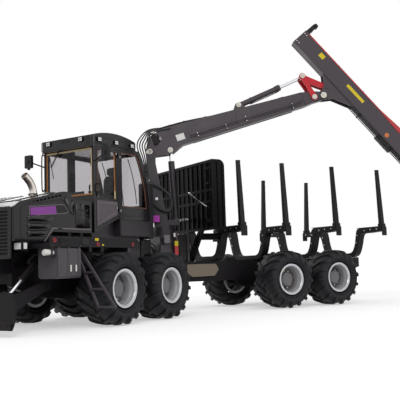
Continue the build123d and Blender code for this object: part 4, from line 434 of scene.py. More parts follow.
def surface(tree, shader):
    """Joins a shader to the material's output."""
    add(tree, "ShaderNodeOutputMaterial", {"Surface": shader})


def principled(tree, inputs):
    """The Principled shader with these inputs, as the material's surface."""
    surface(tree, add(tree, "ShaderNodeBsdfPrincipled", inputs).outputs["BSDF"])


def compute(tree, operation, *values):
    """The result of one sum on one or two values."""
    return add(tree, "ShaderNodeMath", dict(enumerate(values)), operation=operation).outputs["Value"]


def vector_sum(tree, operation, result, *values):
    """The vector or the value that one sum on vectors gives."""
    return add(tree, "ShaderNodeVectorMath", dict(enumerate(values)), operation=operation).outputs[result]


def spread(tree, value, low, high, low_from=0.0, high_from=1.0):
    """A value taken from one range to another, held at its ends."""
    return add(tree, "ShaderNodeMapRange", {
        "Value": value, "From Min": low_from, "From Max": high_from,
        "To Min": low, "To Max": high}).outputs["Result"]


def blend_colours(tree, factor, first, second):
    """First colour where the factor is 0, second where it is 1; each is an sRGB hex or an output."""
    first, second = (linear(colour) if isinstance(colour, str) else colour for colour in (first, second))
    return add(tree, "ShaderNodeMix", {0: factor, 6: first, 7: second}, data_type="RGBA").outputs[2]


def noise(tree, place, millimetres, detail=4.0, roughness=0.55):
    """Noise whose lumps are about so many millimetres across."""
    return add(tree, "ShaderNodeTexNoise", {
        "Vector": place, "Scale": 1000.0 / millimetres,
        "Detail": detail, "Roughness": roughness}).outputs["Fac"]


def relief(tree, height, strength, depth):
    """A normal that follows a height pattern, so many metres deep."""
    return add(tree, "ShaderNodeBump", {
        "Strength": strength, "Distance": depth, "Height": height}).outputs["Normal"]


def enamel(name, paint, roughness, dust="#5B534C", dustiness=0.06, peel=0.12, coat=0.0, gloss=0.16):
    """Two-pack enamel sprayed on sheet steel: an even colour with a slight orange peel of 6 mm, drawn
    coarse enough to show, cloudy sheen, and a breath of road dust where a face looks up."""
    material, tree, place = new_material(name)
    normal = add(tree, "ShaderNodeNewGeometry").outputs["Normal"]
    up = add(tree, "ShaderNodeSeparateXYZ", {"Vector": normal}).outputs["Z"]
    clouds = noise(tree, place, 420.0, 6.0, 0.62)
    speckle = noise(tree, place, 18.0, 3.0)
    lying = compute(tree, "MULTIPLY", spread(tree, up, 0.25, 1.0, 0.2, 0.9),
                    spread(tree, clouds, 0.0, 1.0, 0.38, 0.72))
    dusty = compute(tree, "MULTIPLY", lying,
                    spread(tree, speckle, 0.5 * dustiness, 1.4 * dustiness, 0.3, 0.7))
    sheen = spread(tree, clouds, roughness - 0.04, roughness + 0.06, 0.3, 0.7)
    principled(tree, {
        "Base Color": blend_colours(tree, dusty, paint, dust),
        "Roughness": compute(tree, "ADD", sheen, dusty),
        "Normal": relief(tree, noise(tree, place, 6.0, 2.0), peel, 0.0008),
        "Specular IOR Level": gloss, "Coat Weight": coat, "Coat Roughness": 0.1})
    return material


def ribbed_sheet(name, paint, pitch_mm):
    """Black enamel on steel sheet pressed with shallow upright ribs: glossy, with fine vertical lines of
    light every `pitch_mm`. A wave of scale 1 repeats every 0.314 m, hence the 3.183."""
    material, tree, place = new_material(name)
    ribs = add(tree, "ShaderNodeTexWave", {
        "Vector": place, "Scale": 1000.0 / pitch_mm / 3.183, "Distortion": 0.0}, bands_direction="Y")
    principled(tree, {
        "Base Color": linear(paint),
        "Roughness": spread(tree, noise(tree, place, 300.0, 5.0), 0.2, 0.36, 0.3, 0.7),
        "Normal": relief(tree, ribs.outputs["Fac"], 0.5, 0.006), "Specular IOR Level": 0.06})
    return material


def tyre_rubber(name):
    """Carbon-black tyre compound, moulded: dull black with a slight blue bloom and fine mould grain."""
    material, tree, place = new_material(name)
    clouds = noise(tree, place, 160.0, 6.0, 0.6)
    streaks = noise(tree, place, 30.0, 4.0, 0.6)
    bloom = blend_colours(tree, spread(tree, clouds, 0.0, 0.7, 0.35, 0.75), "#121214", "#23242C")
    principled(tree, {
        "Base Color": blend_colours(tree, spread(tree, streaks, 0.0, 0.15, 0.5, 0.8), bloom, "#3B3936"),
        "Roughness": spread(tree, clouds, 0.46, 0.66, 0.3, 0.7),
        "Normal": relief(tree, noise(tree, place, 8.0, 3.0), 0.35, 0.0015), "Specular IOR Level": 0.25})
    return material


def rim_coat(name, coat, centre, axis):
    """Silver powder coat on a rolled steel rim: even satin grey with a fine 5 mm texture, and painted shade
    that darkens the recessed disc, by distance from the wheel's axle."""
    material, tree, place = new_material(name)
    from_hub = vector_sum(tree, "SUBTRACT", "Vector", place, centre)
    along_axle = vector_sum(tree, "DOT_PRODUCT", "Value", from_hub, axis)
    distance = vector_sum(tree, "LENGTH", "Value", from_hub)
    square = compute(tree, "SUBTRACT", compute(tree, "MULTIPLY", distance, distance),
                     compute(tree, "MULTIPLY", along_axle, along_axle))
    clouds = noise(tree, place, 90.0, 5.0, 0.6)
    # painted shade: the disc deep inside the rim, within 0.262 to 0.288 m of the axle, turns dark
    # brown-grey and rougher
    disc_shade = compute(tree, "MULTIPLY", spread(tree, compute(tree, "SQRT", square), 1.0, 0.0, 0.262, 0.288),
                    spread(tree, clouds, 0.86, 1.0, 0.35, 0.6))
    unshaded_coat = blend_colours(tree, spread(tree, clouds, 0.0, 0.3, 0.45, 0.8), coat, "#94928F")
    principled(tree, {
        "Base Color": blend_colours(tree, disc_shade, unshaded_coat, "#38312F"),
        "Roughness": spread(tree, disc_shade, 0.3, 0.6), "Metallic": 0.35,
        "Normal": relief(tree, noise(tree, place, 5.0, 2.0), 0.1, 0.0006)})
    return material


def metal(name, colour, roughness, strength=0.05, stain=None):
    """Bare or plated metal: hard chrome, zinc plate or stainless tube, by its colour and roughness, with
    faint polishing marks and, where a stain is given, a cloudy discolouring."""
    material, tree, place = new_material(name)
    clouds = noise(tree, place, 60.0, 5.0, 0.6)
    principled(tree,
               {"Base Color": blend_colours(tree, spread(tree, clouds, 0.0, 0.6, 0.4, 0.75), colour,
                                            stain or colour), "Metallic": 1.0,
                "Normal": relief(tree, noise(tree, place, 2.0, 2.0), strength, 0.0003),
                "Roughness": spread(tree, clouds, roughness * 0.8, roughness * 1.3, 0.3, 0.7)})
    return material


def plastic(name, colour, roughness=0.45, second=None, gloss=0.4):
    """Moulded plastic, rubber or printed film: even colour, soft sheen and a fine moulded grain."""
    material, tree, place = new_material(name)
    clouds = noise(tree, place, 70.0, 5.0, 0.6)
    principled(tree,
               {"Base Color": blend_colours(tree, spread(tree, clouds, 0.0, 0.6, 0.4, 0.75), colour,
                                            second or colour),
                "Normal": relief(tree, noise(tree, place, 5.0, 2.0), 0.15, 0.0006),
                "Specular IOR Level": gloss, "Roughness": spread(tree, clouds, roughness - 0.05,
                                                                 roughness + 0.08, 0.3, 0.7)})
    return material


def braided_hose(name):
    """Hydraulic hose in a woven nylon sleeve: dull black with slanting plaits that catch light."""
    material, tree, place = new_material(name)
    plaits = add(tree, "ShaderNodeTexWave", {
        "Vector": place, "Scale": 26.0, "Distortion": 1.2, "Detail": 1.0},
        bands_direction="DIAGONAL").outputs["Fac"]
    principled(tree, {
        "Base Color": blend_colours(tree, plaits, "#141214", "#2B282C"), "Roughness": 0.5,
        "Normal": relief(tree, plaits, 0.6, 0.002), "Specular IOR Level": 0.4})
    return material


def glazing(name):
    """Polycarbonate safety glazing 12 mm thick: clear, faintly mauve, with a soft shine at low angles,
    which only the face that light enters by gives back."""
    material, tree, place = new_material(name)
    clear = add(tree, "ShaderNodeBsdfTransparent", {"Color": linear("#E9E8E9")}).outputs["BSDF"]
    shine = add(tree, "ShaderNodeBsdfGlossy", {
        "Color": linear("#E6E4E8"),
        "Roughness": spread(tree, noise(tree, place, 240.0), 0.04, 0.09)}).outputs["BSDF"]
    entering = compute(tree, "SUBTRACT", 1.0, add(tree, "ShaderNodeNewGeometry").outputs["Backfacing"])
    low_angle = add(tree, "ShaderNodeFresnel", {"IOR": 1.35}).outputs["Fac"]
    share = compute(tree, "MULTIPLY", low_angle, entering)
    surface(tree, add(tree, "ShaderNodeMixShader", {0: share, 1: clear, 2: shine}).outputs["Shader"])
    return material


def lens_plastic(name):
    """Moulded acrylic lamp lens over silvered cells: bright, nearly white, with small square facets."""
    material, tree, place = new_material(name)
    cells = add(tree, "ShaderNodeTexVoronoi", {"Vector": place, "Scale": 38.0, "Randomness": 0.0},
                feature="F1", distance="CHEBYCHEV").outputs["Distance"]
    principled(tree, {
        "Base Color": blend_colours(tree, spread(tree, cells, 0.0, 1.0, 0.3, 0.55), "#F4F3F0", "#B9B6B4"),
        "Roughness": 0.12, "Normal": relief(tree, cells, 0.4, 0.003),
        "Emission Color": linear("#FFFFFF"), "Emission Strength": 0.12})
    return material


def woven_cover(name):
    """Woven polyester seat cloth: a plain weave of threads, drawn coarse enough to show."""
    material, tree, place = new_material(name)
    warp, weft = (add(tree, "ShaderNodeTexWave", {"Vector": place, "Scale": 40.0, "Distortion": 0.6},
                      bands_direction=direction).outputs["Fac"] for direction in ("Y", "Z"))
    threads = compute(tree, "MULTIPLY", warp, weft)
    principled(tree, {
        "Base Color": blend_colours(tree, threads, "#141316", "#2E2C30"), "Roughness": 0.85,
        "Sheen Weight": 0.2, "Normal": relief(tree, threads, 0.4, 0.001)})
    return material


CAD_FINISH = {             # CAD nodes that are not in the frame's enamel
    "body_enamel": ("cab_shell", "cab_door", "cab_roof", "hood"),
    "shelf_enamel": ("cab_base", "crane_column", "crane_base", "lift_barrel"),
    "glazing": ("cab_glass", "door_glass"),
    "gate_sheet": ("headboard",),
    "moulded_black": ("grille", "console", "roof_lamps", "mirrors", "front_lamps"),
    "cast_iron": ("engine_block",),
    "stainless_pipe": ("exhaust",),
    "link_enamel": ("pull_link", "jib_rocker"),
    "hard_chrome": ("lift_rod", "jib_rod", "blade_rods"),
    "crane_enamel": (
        "crane_boom", "outer_boom", "extension", "jib_barrel", "tip_link", "ladder",
        "rotator", "claw_outer", "claw_inner"),
    "tank_enamel": ("side_tanks",),
    "seat_cloth": ("seat",),
}


class FORWARDER_OT_materials(bpy.types.Operator):
    """Makes every finish and gives the CAD pieces theirs"""

    bl_idname = "forwarder.materials"
    bl_label = "Materials"

    def execute(self, context):
        colours = context.scene.forwarder_colours
        FINISHES.update({
            "body_enamel": enamel("body_enamel", colours.body, 0.2, coat=0.42),
            "frame_enamel": enamel("frame_enamel", colours.frame, 0.42, dustiness=0.12),
            "panel_enamel": enamel("panel_enamel", colours.panel, 0.45),
            "panel_edge": enamel("panel_edge", "#7E777C", 0.4),
            "shelf_enamel": enamel("shelf_enamel", "#332E33", 0.35, gloss=0.3),
            "tank_enamel": enamel("tank_enamel", "#4A464B", 0.4, gloss=0.3),
            "crane_enamel": enamel("crane_enamel", colours.crane, 0.4, gloss=0.3),
            "gate_sheet": ribbed_sheet("gate_sheet", "#070608", 45.0),
            "link_enamel": enamel("link_enamel", colours.links, 0.38, dustiness=0.03),
            "clay_enamel": enamel("clay_enamel", "#82776A", 0.55, dust="#A0968A", dustiness=0.3),
            "hard_chrome": metal("hard_chrome", "#DCDCE0", 0.12),
            "mirror_glass": metal("mirror_glass", "#E8E8EC", 0.03, strength=0.0),
            "stainless_pipe": metal("stainless_pipe", "#DAD2CC", 0.3, stain="#B3A69C"),
            "zinc_plate": metal("zinc_plate", "#D9D3C6", 0.4, stain="#B5AD9F"),
            "pin_cap": plastic("pin_cap", "#E4DFD4", 0.4, second="#C4BDAF"),
            "white_film": plastic("white_film", "#E9E7E4", 0.4, second="#D8D5D1"),
            "yellow_film": plastic("yellow_film", "#D9C21E", 0.4),
            "red_film": plastic("red_film", "#B8353A", 0.4),
            "orange_film": plastic("orange_film", "#C8743A", 0.4),
            "sign_film": plastic("sign_film", colours.sign, 0.38, second="#7C3390"),
            "magenta_film": plastic("magenta_film", "#B93DB4", 0.38),
            # painted light: the glow of the glazing's thick edges, a brighter cream, a dimmer orange and a
            # brown for the rear pane
            "edge_glow_cream": plastic("edge_glow_cream", "#E8CE9A", 0.4, second="#F2E4C2"),
            "edge_glow_orange": plastic("edge_glow_orange", "#A9713F", 0.4, second="#CD9150"),
            "edge_glow_brown": plastic("edge_glow_brown", "#54352A", 0.4, second="#8A5A3C"),
            "hose_rubber": plastic("hose_rubber", "#141215", 0.36, second="#1E1C1F"),
            "braided_hose": braided_hose("braided_hose"),
            "moulded_black": plastic("moulded_black", "#121113", 0.5, second="#1B191C", gloss=0.3),
            "cast_iron": enamel("cast_iron", "#242122", 0.6, dustiness=0.3, peel=0.5),
            "hub_enamel": enamel("hub_enamel", "#6E6C70", 0.45, gloss=0.4),
            "glazing": glazing("glazing"),
            "lamp_lens": lens_plastic("lamp_lens"),
            "tyre_rubber": tyre_rubber("tyre_rubber"),
            "seat_cloth": woven_cover("seat_cloth"),
        })
        chosen = {node: name for name, nodes in CAD_FINISH.items() for node in nodes}
        for name, node in frame["nodes"].items():
            paint = FINISHES[chosen.get(name, "frame_enamel")]
            if not node.material_slots:
                node.data.materials.append(paint)
            for slot in node.material_slots:
                slot.link = "OBJECT"
                slot.material = paint
        return {"FINISHED"}


# Wheels

TYRE_RIB = ((0.300, 0.395), (0.318, 0.405), (0.330, 0.425), (0.318, 0.440), (0.30, 0.43))
LUG_SECTION = np.array([                   # across a lug, share of its height
    (-0.046, -0.02), (-0.037, 0.75), (-0.029, 1.0), (0.029, 1.0), (0.037, 0.75), (0.046, -0.02)])


def wheel_place(place, x, side):
    """The frame of a wheel: its hub, with Y pointing out of the machine."""
    return place @ shift(x, side * TRACK_HALF, AXLE_HEIGHT) @ turn("Z", 90.0 - side * 90.0)


def carcass_profile(count=40):
    """Section of a tyre, (across, radius): a flattened oval round radius 0.495, its inner side held out
    to the bead at 0.352 and its crown swelling slightly toward the middle."""
    angle = np.linspace(-math.pi, math.pi, count, endpoint=False)
    across = 0.352 * np.sign(np.cos(angle)) * np.abs(np.cos(angle)) ** 0.5
    out = np.sign(np.sin(angle)) * np.abs(np.sin(angle)) ** 0.72
    radius = 0.495 + np.where(out > 0, 0.136 * out, 0.142 * out)
    across = np.where(out < 0, across * (1 - 0.2 * np.abs(out)), across)
    radius = radius + np.where(out > 0.8, 0.008 * (1 - (across / 0.3) ** 2), 0)
    return np.stack([across, np.maximum(radius, 0.353)], axis=1)


def lug_shell(start, side, height, count=9):
    """One tread bar: a trapezoid section carried over the tread. Its path runs from just past the middle
    to the shoulder and down the side wall, with angle = start + 0.34 (1 - t)^1.6, so it curves back."""
    t = np.linspace(0, 1, count)
    across = side * np.interp(t, (0, 0.78, 0.9, 1), (-0.018, 0.315, 0.349, 0.357))
    floor = np.interp(t, (0, 0.5, 0.78, 0.9, 1), (0.632, 0.630, 0.612, 0.570, 0.520))
    top = np.interp(t, (0, 0.06, 0.78, 0.88, 1), (height * 0.7, height, height, 0.030, 0.008))
    outward = np.interp(t, (0, 0.78, 0.92, 1), (0.0, 0.10, 0.9, 1.0))
    angle = start + 0.34 * (1 - t) ** 1.6
    width, share = LUG_SECTION.T
    rise = np.where(share < 0, -0.016, share * top[:, None])
    radius = floor[:, None] + rise * np.sqrt(1 - np.minimum(outward[:, None], 0.999) ** 2)
    over = across[:, None] + side * rise * outward[:, None]
    bend = angle[:, None] + width / 0.63
    return skin(np.stack([radius * np.sin(bend), over, radius * np.cos(bend)], axis=-1))


class FORWARDER_OT_tyres(bpy.types.Operator):
    """Makes the eight lugged tyres in place of their CAD solids"""

    bl_idname = "forwarder.tyres"
    bl_label = "Tyres"

    def execute(self, context):
        sizes = context.scene.forwarder_sizes
        for number, (name, place, x, side) in enumerate(WHEELS):
            hub = wheel_place(place, x, side)
            shells = [skin(lathe(carcass_profile(), 96), closed=True)]
            for half in (1, -1):
                shells.append(turned_shell([(half * across, radius) for across, radius in TYRE_RIB], 96))
                for step in range(sizes.lug_count):
                    start = 2 * math.pi * (step + 0.25 * half + 0.37 * number) / sizes.lug_count
                    shells.append(lug_shell(start, half, sizes.lug_height))
            tyre = piece("tyre_looks_" + name, shells, "tyre_rubber", "wheel_" + name, hub, smooth=40)
            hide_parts("tyre_" + name)
        return {"FINISHED"}


RIM_PROFILE = (            # across, radius
    (0.284, 0.3177), (0.284, 0.352), (0.290, 0.3585), (0.2985, 0.3585), (0.2985, 0.340), (0.296, 0.318),
    (0.276, 0.300), (0.225, 0.297), (0.200, 0.290), (0.185, 0.283), (0.120, 0.280), (0.085, 0.272),
    (0.068, 0.255), (0.060, 0.235), (0.050, 0.200), (0.046, 0.172),
)
RIM_BACK = (
    (-0.04, 0.172), (0.017, 0.20), (0.017, 0.294), (-0.28, 0.298),
    (-0.2985, 0.30), (-0.2985, 0.3585), (-0.284, 0.3585), (-0.284, 0.3177),
)
HUB_PROFILE = (
    (-0.04, 0.0), (-0.04, 0.1719), (0.046, 0.172), (0.120, 0.160), (0.138, 0.150), (0.142, 0.120),
    (0.148, 0.115), (0.148, 0.0),
)
BOLT_COUNT = 10
BOLT_CIRCLE = 0.195
VALVE_CIRCLE = 0.262


class FORWARDER_OT_rims(bpy.types.Operator):
    """Makes the rims with their discs, hubs, bolts and valves in place of their CAD solids"""

    bl_idname = "forwarder.rims"
    bl_label = "Rims"

    def execute(self, context):
        colours = context.scene.forwarder_colours
        for name, place, x, side in WHEELS:
            hub = wheel_place(place, x, side)
            coat = "rim_coat_" + name
            body = "wheel_" + name
            FINISHES[coat] = rim_coat(coat, colours.rims, hub[:3, 3], hub[:3, 1])
            shell = turned_shell([*RIM_PROFILE, *RIM_BACK], 72)
            rim = piece("rim_looks_" + name, [shell], coat, body, hub, smooth=28)
            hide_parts("rim_" + name)
            piece("hub_" + name, [turned_shell(HUB_PROFILE, 48)], "hub_enamel", body, hub, smooth=28)
            bolts = []
            for step in range(BOLT_COUNT):
                angle = 2 * math.pi * (step + 0.3) / BOLT_COUNT
                x, z = BOLT_CIRCLE * math.sin(angle), BOLT_CIRCLE * math.cos(angle)
                bolts.append(drum((x, 0.04, z), (x, 0.072, z), 0.017, 6, 0.003))
            x, z = VALVE_CIRCLE * math.sin(0.5), VALVE_CIRCLE * math.cos(0.5)
            bolts.append(drum((x, 0.07, z), (x * 1.02, 0.115, z * 1.02), 0.014, 12, 0.003))
            piece("wheel_bolts_" + name, bolts, "zinc_plate", body, hub)
        return {"FINISHED"}


# Cab

SCREEN = (2.5412, 0.615, 2.480, 3.410)           # outer face of the glass, half width, lower and upper edge
DOOR_WINDOW = (1.885, 2.445, 2.430, 3.385)       # back, front, lower and upper edge
REAR_WINDOW = (1.690, 2.290, 3.420)              # front, lower and upper edge
CAB_SIDE = 0.660
REAR_EDGE = ((1.110, 3.500), (0.862, 2.925), (0.760, 2.300))
ROOF = (2.650, 0.690, 3.5725)                    # front, half width, middle height of its lamps
MIRRORS = ((2.545, 0.960), (2.690, -0.960))
LAMP_CELLS = [(across, up) for across in (-0.024, 0.024) for up in (-0.019, 0.019)]


def rear_edge(z, inset):
    """X of the cab's bowed rear edge moved inwards: a circle through three points, of radius less inset."""
    (x1, z1), (x2, z2), (x3, z3) = REAR_EDGE
    lines = np.array(((x2 - x1, z2 - z1), (x3 - x2, z3 - z2))) * 2
    sums = np.array((x2 ** 2 - x1 ** 2 + z2 ** 2 - z1 ** 2, x3 ** 2 - x2 ** 2 + z3 ** 2 - z2 ** 2))
    centre = np.linalg.solve(lines, sums)
    radius = math.hypot(x1 - centre[0], z1 - centre[1]) - inset
    return centre[0] - math.sqrt(radius ** 2 - (z - centre[1]) ** 2)


class FORWARDER_OT_cab(bpy.types.Operator):
    """Makes the cab's glass edges, seals, lamps, mirrors, hinge bolts, door panel, handle and wiper"""

    bl_idname = "forwarder.cab"
    bl_label = "Cab"

    def execute(self, context):
        self.glass_edges()
        self.door_details()
        self.lamps_and_mirrors()
        self.trim()
        return {"FINISHED"}

    def glass_edges(self):
        """Painted light: the glow of the panes' thick edges, as thin strips just outside the glass; cream
        where brighter, orange where dimmer and brown round the rear pane.
        """
        glass, half, low, high = SCREEN
        width = 0.034
        # painted light: the screen's edge glows cream along one side and the top, orange along the other
        # side and the foot
        cream = [block((glass, half - width, low), (glass + 0.002, half, high), 0.0005)]
        cream.append(block((glass, -half, high - width), (glass + 0.002, half - width, high), 0.0005))
        orange = [
            block((glass, -half, low), (glass + 0.002, half - width, low + width), 0.0005),
            block((glass, -half, low + width), (glass + 0.002, width - half, high - width), 0.0005)]
        piece("screen_edge_glow_bright", cream, "edge_glow_cream", "front_body")
        piece("screen_edge_glow_dim", orange, "edge_glow_orange", "front_body")
        back, front, low, high = DOOR_WINDOW
        y = CAB_SIDE - 0.0185
        middle = low + 0.17
        upper = [block((x, y, middle), (x + width, y + 0.0015, high), 0.0005)
                 for x in (back, front - width)]
        lower = [block((x, y, low), (x + width, y + 0.0015, middle), 0.0005)
                 for x in (back, front - width)]
        piece("door_glass_edges", upper, "edge_glow_orange", "door")
        piece("door_glass_feet", lower, "edge_glow_cream", "door")
        sill = [block((back + width, y, middle - 0.012), (front - width, y + 0.0015, middle), 0.0005)]
        piece("door_glass_bar", sill, "moulded_black", "door")
        front, low, high = REAR_WINDOW
        bowed = [(rear_edge(z, 0.082), z) for z in np.linspace(high, low, 9)]
        outline = [*bowed, (front, low), (front, high)]
        rings = both_sides([band(outline, 0.036, y, y + 0.0015)])
        piece("rear_glass_edges", rings, "edge_glow_brown", "front_body")

    def door_details(self):
        """The door's grey panel, handle and hinge bolts, and the rails at the cab's foot."""
        slope = (1.740 - 2.030) / (2.560 - 1.855)
        low = [(x, 2.030 + slope * (max(x, 1.855) - 1.855) + 0.085) for x in (1.850, 2.486)]
        panel = [(1.850, 2.380), (2.486, 2.380), low[1], low[0]]
        piece("door_panel", [plate(panel, CAB_SIDE, 0.006, 0.002, 0.02)], "panel_enamel", "door")
        inner = [(1.885, 2.340), (2.452, 2.340), (2.452, low[1][1] + 0.05), (1.885, low[0][1] + 0.05)]
        piece("door_panel_edge", [band(inner, 0.014, CAB_SIDE + 0.0055, CAB_SIDE + 0.012, 0.03)],
              "panel_edge", "door")
        handle = smooth_path([(2.470, CAB_SIDE + 0.002, 2.53), (2.470, CAB_SIDE + 0.045, 2.55),
                              (2.470, CAB_SIDE + 0.045, 2.68), (2.470, CAB_SIDE + 0.002, 2.70)])
        lock = block((2.452, CAB_SIDE, 2.46), (2.492, CAB_SIDE + 0.022, 2.53), 0.006)
        piece("door_handle", [tube(handle, 0.011), lock], "moulded_black", "door")
        for name, x, levels, body in (("hinge_bolts", 1.762, (2.2049, 3.3049), "front_body"),
                                      ("hinge_bolts_door", 1.882, (2.255, 3.355), "door")):
            bolts = [cap(x, CAB_SIDE + 0.012, z + step, 0.011, 0.007, 12)
                     for z in levels for step in (-0.012, 0.012)]
            piece(name, bolts, "zinc_plate", body)
        groove = corners(0.800, 2.155, 1.775, 2.115)
        rail = corners(0.775, 2.105, 1.800, 2.045)
        shells = both_sides([pressing(groove, CAB_SIDE, 0.010, 0.003, 0.008),
                             pressing(rail, CAB_SIDE, 0.018, 0.006, 0.012)])
        piece("side_rails", shells, "body_enamel", "front_body")

    def lamps_and_mirrors(self):
        """The roof lamps in their cells, the roof's borders, and the mirrors' faces and clamps."""
        front, half, height = ROOF
        lenses = []
        for y in (-0.428, 0.428):
            for across, up in LAMP_CELLS:
                low = (front + 0.0285, y + across - 0.020, height + up - 0.015)
                lenses.append(block(low, (low[0] + 0.006, low[1] + 0.040, low[2] + 0.030), 0.003))
        for x in (2.430, 1.915, 1.400):
            for across, up in LAMP_CELLS:
                low = (x + across - 0.020, half + 0.0285, height + up - 0.015)
                lenses += both_sides([block(low, (low[0] + 0.040, low[1] + 0.006, low[2] + 0.030),
                                            0.003)])
        piece("roof_lenses", lenses, "lamp_lens", "front_body")
        tag = corners(-0.10, 3.618, 0.10, 3.560)
        bezels = [slab(tag, front + SLIGHT_GAP, front + 0.007, 0.003, 0.012, "YZ")]
        bezels.append(band(corners(-0.64, 3.632, 0.58, 3.440), 0.010,
                           front - 0.002, front + 0.003, 0.03, "YZ"))
        slots = corners(1.330, 3.628, 2.540, 3.518)
        bezels += both_sides([band(slots, 0.010, half - 0.002, half + 0.005, 0.04)])
        piece("roof_trim", bezels, "moulded_black", "front_body")
        glass, grips = [], []
        for x, y in MIRRORS:
            glass.append(slab(corners(y - 0.080, 3.155, y + 0.080, 3.389), x - 0.0325, x - 0.0302, 0.001,
                              0.02, "YZ"))
            grips.append(block((x - 0.016, y - 0.03, 3.105), (x + 0.016, y + 0.03, 3.142), 0.008))
            grips.append(block((x + 0.0302, y - 0.022, 3.23), (x + 0.046, y + 0.022, 3.31), 0.006))
        piece("mirror_faces", glass, "mirror_glass", "front_body")
        piece("mirror_clamps", grips, "moulded_black", "front_body")

    def trim(self):
        """The wiper, grab rail and seals of the windscreen and door, and the rear window's bars."""
        glass, half, low, high = SCREEN
        x = glass + 0.030
        arm = [(x, -0.16, 3.440), (x + 0.02, -0.24, 3.400), (x + 0.004, -0.46, 3.120)]
        blade = [(x - 0.012, -0.50, 3.330), (x - 0.016, -0.46, 3.120), (x - 0.012, -0.40, 2.880)]
        beside = [(x, y + 0.03, z) for x, y, z in arm]
        shells = [tube(arm, 0.009, 8), tube(beside, 0.006, 8), tube(blade, 0.008, 8)]
        shells.append(block((x - 0.005, -0.20, 3.405), (x + 0.035, -0.10, 3.455), 0.01))
        rail = smooth_path([(2.545, -0.665, 2.68), (2.545, -0.735, 2.70), (2.545, -0.735, 3.36),
                            (2.545, -0.665, 3.38)])
        shells.append(tube(rail, 0.013))
        shells.append(band(corners(-half - 0.014, low - 0.014, half + 0.014, high + 0.008),
                           0.014, 2.5585, 2.566, 0.0, "YZ"))
        piece("screen_trim", shells, "moulded_black", "front_body")
        back, front, low, high = DOOR_WINDOW
        seal = corners(back - 0.012, low - 0.012, front + 0.012, high + 0.012)
        piece("door_seal", [band(seal, 0.013, CAB_SIDE - 0.002, CAB_SIDE + 0.005, 0.02)],
              "hose_rubber", "door")
        bars = []
        for y in (-0.36, 0.0, 0.36):
            path = [(rear_edge(z, 0.055), y, z) for z in np.linspace(2.42, 3.38, 8)]
            bars.append(tube(path, 0.009, 8))
        piece("rear_window_bars", bars, "moulded_black", "front_body")


class FORWARDER_OT_seat(bpy.types.Operator):
    """Makes the operator's padded seat, its stand and its armrests with their joysticks"""

    bl_idname = "forwarder.seat"
    bl_label = "Seat"

    def execute(self, context):
        pads = (
            ("seat_cushion", cushion((1.420, 0.0, 2.492), (0.262, 0.232, 0.080), 0.42)),
            ("seat_back", cushion((1.192, 0.0, 2.790), (0.066, 0.228, 0.250), 0.5, 5, 0.014)),
            ("seat_headrest", cushion((1.178, 0.0, 3.128), (0.052, 0.150, 0.088), 0.6)),
        )
        for name, shell in pads:
            pad = piece(name, [shell], "seat_cloth", "front_body", smooth=60)
            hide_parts("seat")
        stand = [block((1.27, -0.14, 2.081), (1.53, 0.14, 2.20), 0.02)]
        for level in np.linspace(2.20, 2.37, 6):
            stand.append(slab(corners(1.285, -0.13, 1.515, 0.13),
                              level, level + 0.030, 0.012, 0.04, "XY"))
        stand.append(block((1.20, -0.20, 2.385), (1.64, 0.20, 2.412), 0.008))
        for y in (-0.07, 0.07):
            stand.append(tube([(1.170, y, 3.02), (1.176, y, 3.08)], 0.009, 10))
        armrest = [(1.235, 2.640), (1.620, 2.650), (1.640, 2.700), (1.235, 2.720)]
        for side in (1, -1):
            y = side * 0.285
            stand.append(slab(armrest, y - 0.035, y + 0.035, 0.014, 0.03))
            stand.append(tube([(1.26, side * 0.25, 2.50), (1.26, side * 0.28, 2.66)], 0.016, 10))
            grip = smooth_path([(1.60, y, 2.69), (1.61, y, 2.76), (1.60, side * 0.28, 2.83)])
            stand.append(tube(grip, np.linspace(0.012, 0.022, len(grip)), 12))
        piece("seat_stand", stand, "moulded_black", "front_body")
        return {"FINISHED"}


# Hood, walkways, tank and front end

HOOD_SIDE = 0.750
HOOD_RIDGE = ((4.02, 1.575), (4.44, 1.565), (4.515, 1.640), (4.525, 2.060), (4.470, 2.165), (4.10, 2.225),
              (3.62, 2.305), (3.50, 2.300))
TANK_SIDE = 1.250          # of the tanks and of the boards above them


def scoop(back, low, high, front=4.385, out=0.058, count=22, across=12):
    """A pressed louvre on the hood's side. Out of the sheet it stands out(s, t) = out sin(pi t)^0.6
    min(1, 9 s)^0.5 (1 - s^2.2), where s runs from its front to its back and t from its foot to its top."""
    s = np.linspace(0, 1, count)[:, None]
    t = np.linspace(0, 1, across)[None, :]
    rise = out * np.sin(math.pi * t) ** 0.6 * np.minimum(1, 9 * s) ** 0.5 * (1 - s ** 2.2)
    x = front + (back - front) * s + 0 * t
    z = low + (high - low) * t + 0.012 * s
    outer = np.stack([x, HOOD_SIDE + 0.0004 + rise, z], axis=-1)
    inner = outer[:, ::-1].copy()
    inner[:, :, 1] = HOOD_SIDE - 0.003
    return skin(np.concatenate([outer, inner], axis=1))


